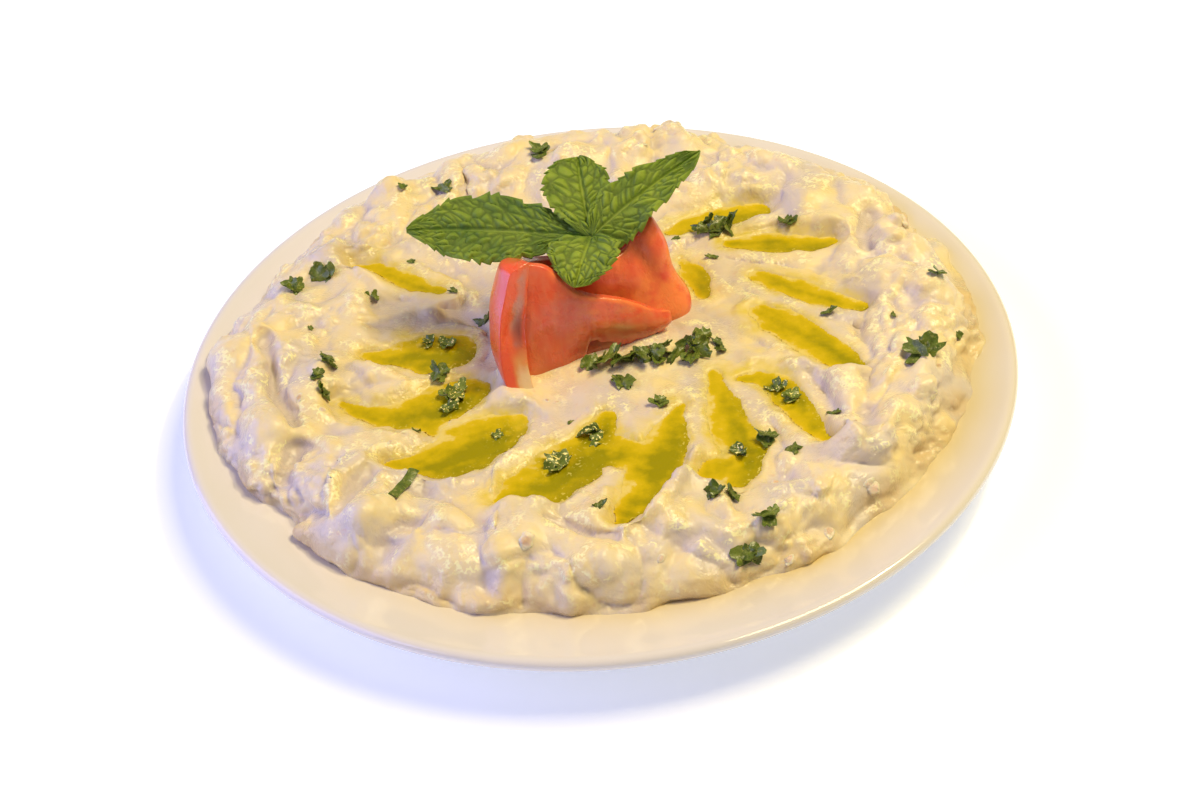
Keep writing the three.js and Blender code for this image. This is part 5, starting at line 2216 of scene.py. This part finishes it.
STRIPS = (
    Strip("tomato_outer", "tomato_outer", 3.0, (
        (-3, 25, 21, -3, 24, 39, 3.4),
        (-14, 21.6, 21, -12, 21, 42.5, 3.8),
        (-21.8, 14, 21, -18.8, 15.6, 47, 4.8),
        (-25, 4, 21, -21.6, 9.6, 52, 6.6),
        (-25.2, -7, 21, -21.6, 4.6, 54.5, 8.2),
        (-22.6, -17.2, 21, -19.4, 1.6, 54.5, 8.8),
    ), edge_thin=0.82, end_thin=0.98, skin_share=0.4, hollow=1.8, lit=0.2),
    Strip("tomato_front", "tomato_front", 1.2, (
        (-21.8, -9.4, 21, -19.8, 4.2, 54.8, 2.8),
        (-13.6, -7.2, 21, -11.4, 3.6, 51.8, 3.4),
        (-5.4, -3.4, 21.4, -4, 1, 44.4, 4),
        (3.4, -0.6, 21.6, 4.4, 2.2, 40.4, 4),
        (11, 1, 21.6, 12.4, 3.6, 36.6, 3.6),
        (17.6, 3, 21.6, 18.4, 5.0, 32, 2.8),
        (22.4, 5.8, 21.6, 23.4, 7.2, 28.6, 1.8),
    ), flesh_outside=0.9, tear=1.0,
        lifts=((0, 0), (0.36, 0), (0.4, 7), (0.47, 5), (0.6, 2.6), (0.8, 2), (1, 3)), lit=0.8),
    # A layer behind the front strip that carries painted shade.
    Strip("tomato_lining", "tomato_front", 0.6, (
        (-12, -5.4, 20.6, -11, -1.8, 34, 1.6),
        (-4, -3.2, 20.6, -4, -0.4, 33, 1.6),
        (6, -0.2, 20.6, 6, 1.8, 31, 1.6),
        (16, 3.0, 20.6, 15, 4.8, 28, 1.4),
    ), flesh_outside=1.0, tear=0.6, lit=0.2, dark=0.45),
    Strip("tomato_inner", "tomato_inner", 0.4, (
        (-6, 8.6, 21, -7, 10.6, 43, 2.8),
        (6, 8.8, 21, 3.6, 13, 43.6, 3.2),
        (17, 10, 21, 11.6, 17.8, 45, 3.6),
        (26.6, 12.8, 21, 17.6, 21.6, 47.6, 3.6),
        (28.6, 17.8, 21, 20, 25.2, 50.6, 3.4),
        (26, 25.4, 21, 18.8, 29.4, 48.6, 3.2),
        (17, 30.6, 21, 14, 31.6, 42, 2.8),
        (8, 32, 21, 7, 32.4, 35, 2.4),
    ), tear=0.5, pinch=1.1, flare=1.5, lit=2.2),
)


@dataclass
class TomatoRose:
    """Curled strips of tomato wall."""

    rows: int = 96
    columns: int = 34
    layers: int = 6
    wave: float = 0.4
    pinch_at: float = 0.36
    pinch_width: float = 0.05
    waist: float = 0.7
    foot_at: Pair = (0.14, 0.13)
    waist_at: Pair = (0.45, 0.18)
    hollow_at: Pair = (0.52, 0.18)
    wall_noise: tuple[Row, ...] = ((4.0, 17.0, 0.1), (1.6, 19.0, 0.07))
    torn_noise: tuple[Row, ...] = ((1.9, 6.0, 1.3), (4.5, 16.0, 0.78))
    streaks: Patches = Patches(3.2, 21.0, -0.1, 0.4, (0.35, 1, 1.1))
    veils: Patches = Patches(6.0, 27.0, 0.0, 0.35, (0.4, 1, 0.8))
    grain: Patches = Patches(2.2, 23.0, 0.0, 0.4, (0.25, 0.6, 1.2))
    seeds: Patches = Patches(2.2, 29.0, -0.2, 0.35, (1, 1, 0.35))

    def surface(self, strip: Strip, across: Array, along: Array, side: float) -> Array:
        """Places on one layer of a strip.

        Args:
            strip: The strip.
            across: Shares of its height.
            along: Shares of its length.
            side: 1 on its outer face, -1 on its inner.

        Returns:
            The places, in millimetres.
        """
        step = 0.01
        here = along_stations(strip.stations, along)
        here[:, 2] += np.interp(along, *zip(*strip.lifts))
        ahead = along_stations(strip.stations, np.minimum(1.0, along + step))
        behind = along_stations(strip.stations, np.maximum(0.0, along - step))
        height = across[:, None]
        middle = mix(here[:, 0:3], here[:, 3:6], height)
        run = mix(ahead[:, 0:2] - behind[:, 0:2], ahead[:, 3:5] - behind[:, 3:5], height)
        run /= np.linalg.norm(run, axis=1)[:, None]
        belly = np.sin(np.pi * across)
        thin_end = mix(strip.end_thin, 1.0, smooth_step(0.0, 0.07, np.minimum(along, 1 - along)))
        out = side * here[:, 6] * mix(strip.edge_thin, 1.0, belly**0.6) * thin_end / 2 + strip.bow * belly
        out += strip.flare * bell(across - self.foot_at[0], self.foot_at[1])
        out -= self.waist * strip.flare * bell(across - self.waist_at[0], self.waist_at[1])
        spots = middle + np.array([0, 0, 40.0])
        low_wide = spots * (1, 1, 0.5)
        out += self.wave * mix(noise_at(low_wide, 5.0, 9.0), noise_at(low_wide, 5.0, 3.0), (side + 1) / 2)
        fold = bell(along - self.pinch_at, self.pinch_width)
        out -= strip.pinch * fold * smooth_step(0.35, 0.85, across) * (side + 1.5)
        placed = middle.copy()
        placed[:, 0] += run[:, 1] * out
        placed[:, 1] -= run[:, 0] * out
        low, high = 1 - smooth_step(0.0, 0.16, across), smooth_step(0.82, 1.0, across)
        placed[:, 2] += strip.tear * layered(spots, self.torn_noise) * low
        placed[:, 2] += 0.5 * noise_at(spots, 4.0, 12.0) * high
        cut = (along > 0.999) * strip.hollow * (1 - abs(side + 0.35) ** 1.5)
        cut = cut * bell(across - self.hollow_at[0], self.hollow_at[1])
        placed[:, :2] -= run * cut[:, None]
        return placed

    def mark(self, strip: Strip, piece: Piece) -> None:
        """Store where the strip is skin, flesh, pale core or glassy, and its painted shade and painted light.

        Args:
            strip: The strip.
            piece: Its mesh.
        """
        inner, across, along = (fetch(piece, key) for key in ("inner", "across", "along"))
        points = read_points(piece) / MM
        wander = layered(points, self.wall_noise)
        outside = inner < 0.01
        cap = (along > 0.999) & (strip.hollow > 0)
        front = outside * strip.flesh_outside
        flesh = smooth_step(strip.skin_share - 0.12, strip.skin_share + 0.12, inner + wander)
        rim = np.maximum(smooth_step(0.93, 0.99, along), smooth_step(0.91, 0.985, across))
        flesh = np.where(outside, strip.flesh_outside * (1 - 0.9 * rim), flesh)
        streak = self.streaks.at(points)
        foot = 1.0 - smooth_step(0.02, 0.4, across + wander)
        wedge = smooth_step(0.3, 0.6, inner + 0.9 * wander)
        wedge = wedge * (1.0 - smooth_step(0.12, 0.42, across + 0.5 * wander))
        core = np.where(cap, wedge, 0.55 * foot * streak * ~outside)
        veil = self.veils.at(points)
        veil *= smooth_step(0.2, 0.5, across) * smooth_step(0.75, 0.5, along)
        grain = self.grain.at(points)
        grain *= smooth_step(0.15, 0.4, along)
        pale = bell(along - 0.57, 0.13) * bell(across - 0.42, 0.16)
        corner = bell(along, 0.14) * bell(across, 0.3)
        core = core + front * (0.8 * pale * (0.4 + 0.6 * streak) + 0.4 * corner + 0.16 * grain)
        seeds = 0.35 * self.seeds.at(points)
        pocket = smooth_step(0.42, 0.56, inner + wander) * smooth_step(1.02, 0.8, inner + 0.5 * wander)
        pocket *= smooth_step(0.3, 0.58, across + wander) * smooth_step(1.0, 0.9, across)
        by_cut = bell(along, 0.05) * smooth_step(0.3, 0.6, across) * front
        veiled = np.maximum(0.35 * front * veil, 0.4 * by_cut)
        glassy = np.where(cap, pocket - seeds, 0.3 * (inner > 0.9) + veiled)
        store(piece, "flesh", flesh)
        store(piece, "core", np.clip(core, 0, 1))
        store(piece, "glassy", glassy)
        # Painted shade in the seed hollow of the last cut and in the fold.
        painted_hollow_shade = bell(across - 0.5, 0.13) * bell(inner - 0.78, 0.16)
        fold = bell(along - self.pinch_at, 0.7 * self.pinch_width) * (strip.pinch > 0)
        fold = fold * smooth_step(0.5, 0.9, across) * outside
        store(piece, "shade", np.clip(strip.dark + 0.9 * painted_hollow_shade * cap + 0.35 * fold, 0, 1))
        # Painted light on the skin, and a painted highlight along the front strip's top edge.
        lit = strip.lit * smooth_step(0.1, 0.75, along + 0.4 * (strip.lit > 0.9))
        lit *= mix(1.0, 0.4, smooth_step(0.5, 0.85, across) * (strip.lit > 2.0))
        store(piece, "lit", lit + 1.3 * smooth_step(0.9, 0.97, across) * (strip.flesh_outside > 0))

    def build(self, strip: Strip) -> Piece:
        """Model one strip with its uneven faces and torn lower edge.

        Args:
            strip: The strip.

        Returns:
            The piece.
        """
        piece = add_shell(
            strip.name + "_wall",
            self.rows,
            self.columns,
            lambda across, along, side: self.surface(strip, across, along, side),
            self.layers,
        )
        self.mark(strip, piece)
        round_off(piece)
        return piece


# ---------------- mint


@dataclass(frozen=True)
class Leaf:
    """A mint leaf.

    Its midrib runs from the sprig's joint through middle to tip; side is the direction
    of its right half; halves, folds and fullness are the width, the rise and the
    bluntness of the left and the right half; widest is where along the midrib it is
    widest; rows is its number of side veins; droop is how far the right half hangs
    near the joint, rib how pale its midrib is and tone how light its green.
    """

    middle: Place
    tip: Place
    halves: Pair
    side: Place
    folds: Pair
    widest: float
    rows: int
    fullness: Pair = (0.75, 0.75)
    droop: float = 0.0
    rib: float = 0.35
    tone: float = 0.0


LEAVES = (
    Leaf(
        (-27, 22, 54), (-52.5, 25, 55), (10.6, 11.6), (0.08, 0.93, 0.36), (-0.1, 0.14), 0.53, 10,
        (0.85, 0.75),
    ),
    Leaf(
        (1, 30, 58.5), (0.6, 42, 63.5), (12.0, 8.4), (0.97, 0.02, -0.1), (0.16, 0.2), 0.56, 7,
        (0.55, 0.6), tone=0.2,
    ),
    Leaf(
        (16.5, 25.5, 58), (37, 35.6, 65.6), (7.6, 8.2), (0.5, -0.68, -0.2), (0.4, 0.05), 0.42, 9,
        (0.75, 0.55), droop=0.8, rib=0.45, tone=0.25,
    ),
    Leaf(
        (-0.6, 7, 52.4), (-4.2, -1.4, 47.6), (11.2, 10.2), (0.98, -0.12, 0.02), (0.04, 0.1), 0.42, 6,
        (0.55, 0.6), rib=0.08, tone=0.45,
    ),
)


@dataclass
class MintSprig:
    """Four quilted leaves with toothed edges on a short stem."""

    joint: Place = (2.2, 16.6, 52.0)
    rows: int = 140
    columns: int = 64
    thickness: float = 0.5
    teeth: int = 11
    tooth_depth: float = 0.062
    tip_half: float = 0.5
    quilt: float = 1.05
    cell: float = 3.1
    vein_width: float = 0.12
    wave: float = 0.6
    gutter_depth: float = 0.5
    stem_radius: float = 1.5
    stem_squareness: float = 0.12
    stem_lean: Pair = (-0.5, 1.5)
    stem_foot: float = 19.6

    def midrib(self, leaf: Leaf, share: Array) -> tuple[Array, Array]:
        """Places and directions along a leaf's midrib.

        Args:
            leaf: The leaf.
            share: Where to look, from 0 at the joint to 1 at the tip.

        Returns:
            The places and the directions, one row each.
        """
        joint, tip = np.array(self.joint), np.array(leaf.tip)
        bend = 2 * np.array(leaf.middle) - (joint + tip) / 2
        s = share[:, None]
        place = (1 - s) ** 2 * joint + 2 * s * (1 - s) * bend + s**2 * tip
        run = 2 * (1 - s) * (bend - joint) + 2 * s * (tip - bend)
        return place, run / np.linalg.norm(run, axis=1)[:, None]

    def quilting(self, leaf: Leaf, share: Array, offset: Array) -> tuple[Array, Array]:
        """Creases and raised cells of a blade.

        Args:
            leaf: The leaf.
            share: Along the midrib, from 0 to 1.
            offset: Across the blade, from -1 to 1.

        Returns:
            How deep in a crease each place is, from 0 to 1, and how far it puffs up.
        """
        wide = np.abs(offset)
        row = share * leaf.rows - 1.5 * wide**1.2 + 0.3 * np.sign(offset)
        row_length = math.dist(leaf.tip, self.joint) / leaf.rows
        column = offset * leaf.halves[1] / self.cell
        row_place = 0.8 * row * row_length / self.cell
        spots = np.stack([row_place, column, np.full(share.shape, float(leaf.rows))], 1)
        near = np.array([noise.voronoi(Vector(spot))[0] for spot in spots])
        edge = near[:, 1] - near[:, 0]
        to_row = np.minimum(row % 1.0, 1 - row % 1.0)
        side_vein = bell(to_row, self.vein_width) * smooth_step(1.0, 0.7, wide) * 0.85
        margins = smooth_step(0.0, 0.1, wide) * smooth_step(1.0, 0.9, wide)
        puff = np.sqrt(smooth_step(0.0, 0.7, edge)) * (1 - side_vein) * margins
        crease = np.maximum(1 - smooth_step(0.0, 0.2, edge), 0.8 * side_vein) * margins
        return crease, puff

    def surface(self, leaf: Leaf, across: Array, along: Array, side: float) -> Array:
        """Places on the upper or the lower face of a leaf.

        Args:
            leaf: The leaf.
            across: Shares of its width.
            along: Shares of its length.
            side: 1 on its upper face, -1 on its lower.

        Returns:
            The places, in millimetres.
        """
        place, run = self.midrib(leaf, along)
        sideways = np.array(leaf.side) - run * (run @ np.array(leaf.side))[:, None]
        sideways /= np.linalg.norm(sideways, axis=1)[:, None]
        facing = np.cross(sideways, run)
        facing *= np.where(facing[:, 2:] < 0, -1.0, 1.0)
        offset = 2 * across - 1
        wide, right = np.abs(offset), offset > 0
        skewed = along ** (math.log(0.5) / math.log(leaf.widest))
        bulge = np.sin(np.pi * np.clip(skewed, 0, 1)) ** np.where(right, leaf.fullness[1], leaf.fullness[0])
        teeth = along * self.teeth + 0.35 * np.sin(along * 23.0 + right)
        saw = teeth % 1.0
        jag = 0.5 + 0.5 * np.sin(np.floor(teeth) * 2.4 + right)
        tooth = 1 + self.tooth_depth * (0.5 + jag) * (1 - 2 * saw) * smooth_step(0.55, 1.0, wide)
        half = np.where(right, leaf.halves[1], leaf.halves[0]) * bulge * tooth
        half = np.maximum(self.tip_half, half)
        hang = leaf.droop * smooth_step(0.55, 0.15, along)
        fold = np.where(right, leaf.folds[1] - hang, leaf.folds[0])
        wave = self.wave * wide**2 * np.sin(along * 25.0 + 1.7 * np.sign(offset))
        _, puff = self.quilting(leaf, along, offset)
        quilt = self.quilt * puff * smooth_step(0.0, 0.12, along) * smooth_step(1.0, 0.92, along)
        gutter = -self.gutter_depth * bell(wide, 0.1)
        rise = fold * half * wide + wave + quilt + gutter + side * self.thickness / 2
        return place + sideways * (half * offset)[:, None] + facing * rise[:, None]

    def blade(self, leaf: Leaf, index: int) -> Piece:
        """One leaf as a closed thin solid.

        Args:
            leaf: The leaf.
            index: Its number, for its name.

        Returns:
            The leaf, with its midrib marked, painted shade in its creases and near its joint, and painted
            light on its puffed cells.
        """
        piece = add_shell(
            f"leaf_{index}",
            self.rows,
            self.columns,
            lambda across, along, side: self.surface(leaf, across, along, side),
        )
        along, offset = fetch(piece, "along"), 2 * fetch(piece, "across") - 1
        crease, puff = self.quilting(leaf, along, offset)
        gutter = bell(np.abs(offset) - 0.06, 0.03) * smooth_step(0.0, 0.15, along)
        # Painted shade in the creases and in the gutter beside the midrib.
        store(piece, "crease", np.maximum(0.55 * crease, 0.45 * gutter))
        store(piece, "rib", leaf.rib * bell(offset, 0.03) * smooth_step(0.95, 0.25, along))
        # Painted light on the puffed cells and painted shade near the joint, over tone that varies at random.
        tone_and_painted_joint_shade = noise_at(read_points(piece) / MM, 9.0, 5.0 + index) - 1.1 * bell(along, 0.14)
        store(piece, "top", np.clip(leaf.tone + 0.42 + 0.2 * puff + 0.42 * tone_and_painted_joint_shade, 0, 1))
        return piece

    def stem(self) -> Piece:
        """Square-sided mint stem that stands in the dip.

        Returns:
            The stem.
        """
        deselect()
        x, y, z = self.joint
        depth = z - self.stem_foot
        bpy.ops.mesh.primitive_cylinder_add(
            vertices=16,
            radius=self.stem_radius * MM,
            depth=depth * MM,
            location=(x * MM, y * MM, (z + self.stem_foot) / 2 * MM),
        )
        stem = bpy.context.object
        bpy.ops.object.transform_apply(location=True, rotation=True, scale=True)
        edit(everything=True)
        bpy.ops.mesh.bisect(plane_co=(x * MM, y * MM, (z - 0.4 * depth) * MM), plane_no=(0, 0, 1))
        leave_edit()
        points = read_points(stem)
        lower = (z * MM - points[:, 2]) / (depth * MM)
        angle = np.arctan2(points[:, 1] - y * MM, points[:, 0] - x * MM)
        squared = 1 + self.stem_squareness * np.cos(4 * angle)
        for axis, middle in enumerate((x * MM, y * MM)):
            lean = self.stem_lean[axis] * MM * lower
            points[:, axis] = middle + (points[:, axis] - middle) * squared + lean
        write_points(stem, points)
        store(stem, "rib", np.full(len(points), 0.35))
        store(stem, "crease", np.zeros(len(points)))
        store(stem, "top", np.full(len(points), 0.4))
        return stem

    def build(self) -> Piece:
        """The whole sprig as one piece.

        Returns:
            The sprig.
        """
        leaves = [self.blade(leaf, index) for index, leaf in enumerate(LEAVES)]
        sprig = join([*leaves, self.stem()], "mint_leaves")
        shade_smooth(sprig, 70.0)
        return sprig


# ---------------- studio


@dataclass(frozen=True)
class Lamp:
    """A square lamp that looks at the plate: place and side in metres, power in watts."""

    name: str
    place: Place
    side: float
    power: float
    colour: Colour


LAMPS = (
    Lamp("key", (0.5, 0.02, 1.1), 0.5, 10.5, (0.98, 0.82, 0.43)),
    Lamp("spark", (0.5, 0.2, 0.95), 0.05, 3.0, (1.0, 0.86, 0.55)),
    Lamp("window", (-1.02, -0.05, 0.42), 1.3, 15.5, (0.46, 0.47, 1.0)),
)


@dataclass
class Studio:
    """Pale floor, soft light and the camera."""

    elevation: float = 40.30098577852773
    roll: float = -5.814140692913885
    distance: float = 700.0
    aside: float = 1.0565545309144049
    upward: float = -12.426047324768598
    aim_height: float = 19.0
    focal_pixels: float = 2333.9695622549434
    frame_width: float = 1200.0
    sensor: float = 36.0
    clip: Pair = (0.01, 20.0)
    lamp_aim: Place = (0, 0, 0.02)
    floor_side: float = 8.0
    floor_colour: Colour = (0.85, 0.88, 0.95)
    floor_glow: Colour = (0.85, 0.9, 1.0)
    glow_strength: float = 0.3
    sky_colour: Colour = (1.0, 0.95, 0.84)
    sky_strength: float = 0.2

    def camera(self) -> Piece:
        """Camera that looks down on the plate from its own side of the table.

        Returns:
            The camera.
        """
        rise, roll = math.radians(self.elevation), math.radians(self.roll)
        forward = Vector((0, math.cos(rise), -math.sin(rise)))
        level, upright = Vector((1, 0, 0)), Vector((0, math.sin(rise), math.cos(rise)))
        right = level * math.cos(roll) + upright * math.sin(roll)
        up = -level * math.sin(roll) + upright * math.cos(roll)
        place = Vector((0, 0, self.aim_height)) - forward * self.distance
        place += right * self.aside + up * self.upward
        data = bpy.data.cameras.new("camera")
        data.sensor_width = self.sensor
        data.lens = self.focal_pixels * self.sensor / self.frame_width
        data.clip_start, data.clip_end = self.clip
        camera = bpy.data.objects.new("camera", data)
        bpy.context.scene.collection.objects.link(camera)
        turn = Matrix((right, up, -forward)).transposed()
        camera.matrix_world = Matrix.Translation(place * MM) @ turn.to_4x4()
        bpy.context.scene.camera = camera
        return camera

    def hang(self, lamp: Lamp) -> None:
        """Hang a lamp and turn it to the plate.

        Args:
            lamp: The lamp.
        """
        data = bpy.data.lights.new(lamp.name, "AREA")
        data.size, data.energy, data.color = lamp.side, lamp.power, lamp.colour
        light = bpy.data.objects.new(lamp.name, data)
        bpy.context.scene.collection.objects.link(light)
        light.location = lamp.place
        aim = Vector(self.lamp_aim) - Vector(lamp.place)
        light.rotation_euler = aim.to_track_quat("-Z", "Y").to_euler()

    def floor(self) -> Piece:
        """Plain pale floor.

        Returns:
            The floor.
        """
        deselect()
        bpy.ops.mesh.primitive_plane_add(size=self.floor_side, location=(0, 0, 0))
        floor = bpy.context.object
        floor.name = floor.data.name = "studio_floor"
        shader = Shader("pale floor")
        shader.set(Base_Color=self.floor_colour, Roughness=0.9)
        shader.set(Emission_Color=self.floor_glow, Emission_Strength=self.glow_strength)
        floor.data.materials.append(shader.material)
        return floor

    def build(self) -> None:
        """Set up the whole studio."""
        self.camera()
        self.floor()
        for lamp in LAMPS:
            self.hang(lamp)
        world = bpy.data.worlds.new("soft sky")
        world.use_nodes = True
        background = world.node_tree.nodes["Background"]
        background.inputs["Color"].default_value = (*self.sky_colour, 1.0)
        background.inputs["Strength"].default_value = self.sky_strength
        bpy.context.scene.world = world
        bpy.context.scene.view_settings.view_transform = "Standard"


# ---------------- main


MINT_FINISH = LeafFinish(
    kind=LeafKind.MINT,
    dark=(0.07, 0.147, 0.023),
    light=(0.315, 0.405, 0.04),
    rib=(0.3, 0.36, 0.09),
    crease=(0.022, 0.05, 0.008),
    roughness=0.56,
    shine=0.22,
    patch=9.0,
    tone_and_painted_light_share=0.6,
)
PARSLEY_FINISH = LeafFinish(
    kind=LeafKind.PARSLEY,
    dark=(0.038, 0.068, 0.009),
    light=(0.175, 0.225, 0.03),
    rib=(0.24, 0.3, 0.05),
    crease=(0.012, 0.022, 0.005),
    roughness=0.3,
    shine=0.4,
    patch=2.2,
    tone_and_painted_light_share=0.4,
)


def main() -> None:
    """Build every piece around the frame and set up the studio."""
    logging.basicConfig(level=logging.INFO, format="%(name)s: %(message)s")
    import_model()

    plate = PlateWare()
    form = DipForm(plate)
    dress(plate.build(form), GlazeFinish().material(), "plate_glaze", "plate")

    dip = DipSpread(form).build()
    surface = Surface(dip, plate)
    dress(dip, CreamFinish().material(), "dip", "dip")

    oil_maker, oil_material = OilPools(form), OilFinish().material()
    for pool in POOLS:
        dress(oil_maker.build(pool, surface), oil_material, "oil", pool.name)

    scatter, parsley_material = ParsleyScatter(), PARSLEY_FINISH.material()
    dress(scatter.on_dip(surface), parsley_material, "parsley", "dip")
    dress(scatter.on_oil(form.levels), parsley_material, "parsley", *OIL_FLAKES)
    scatter.clear_patterns()
    dress(PulpBits().build(form, surface), PulpFinish().material(), "dip")

    rose, tomato_material = TomatoRose(), TomatoFinish().material()
    for strip in STRIPS:
        dress(rose.build(strip), tomato_material, "tomato", strip.node)

    dress(MintSprig().build(), MINT_FINISH.material(), "mint", "mint_sprig")

    Studio().build()


if __name__ == "__main__":
    main()
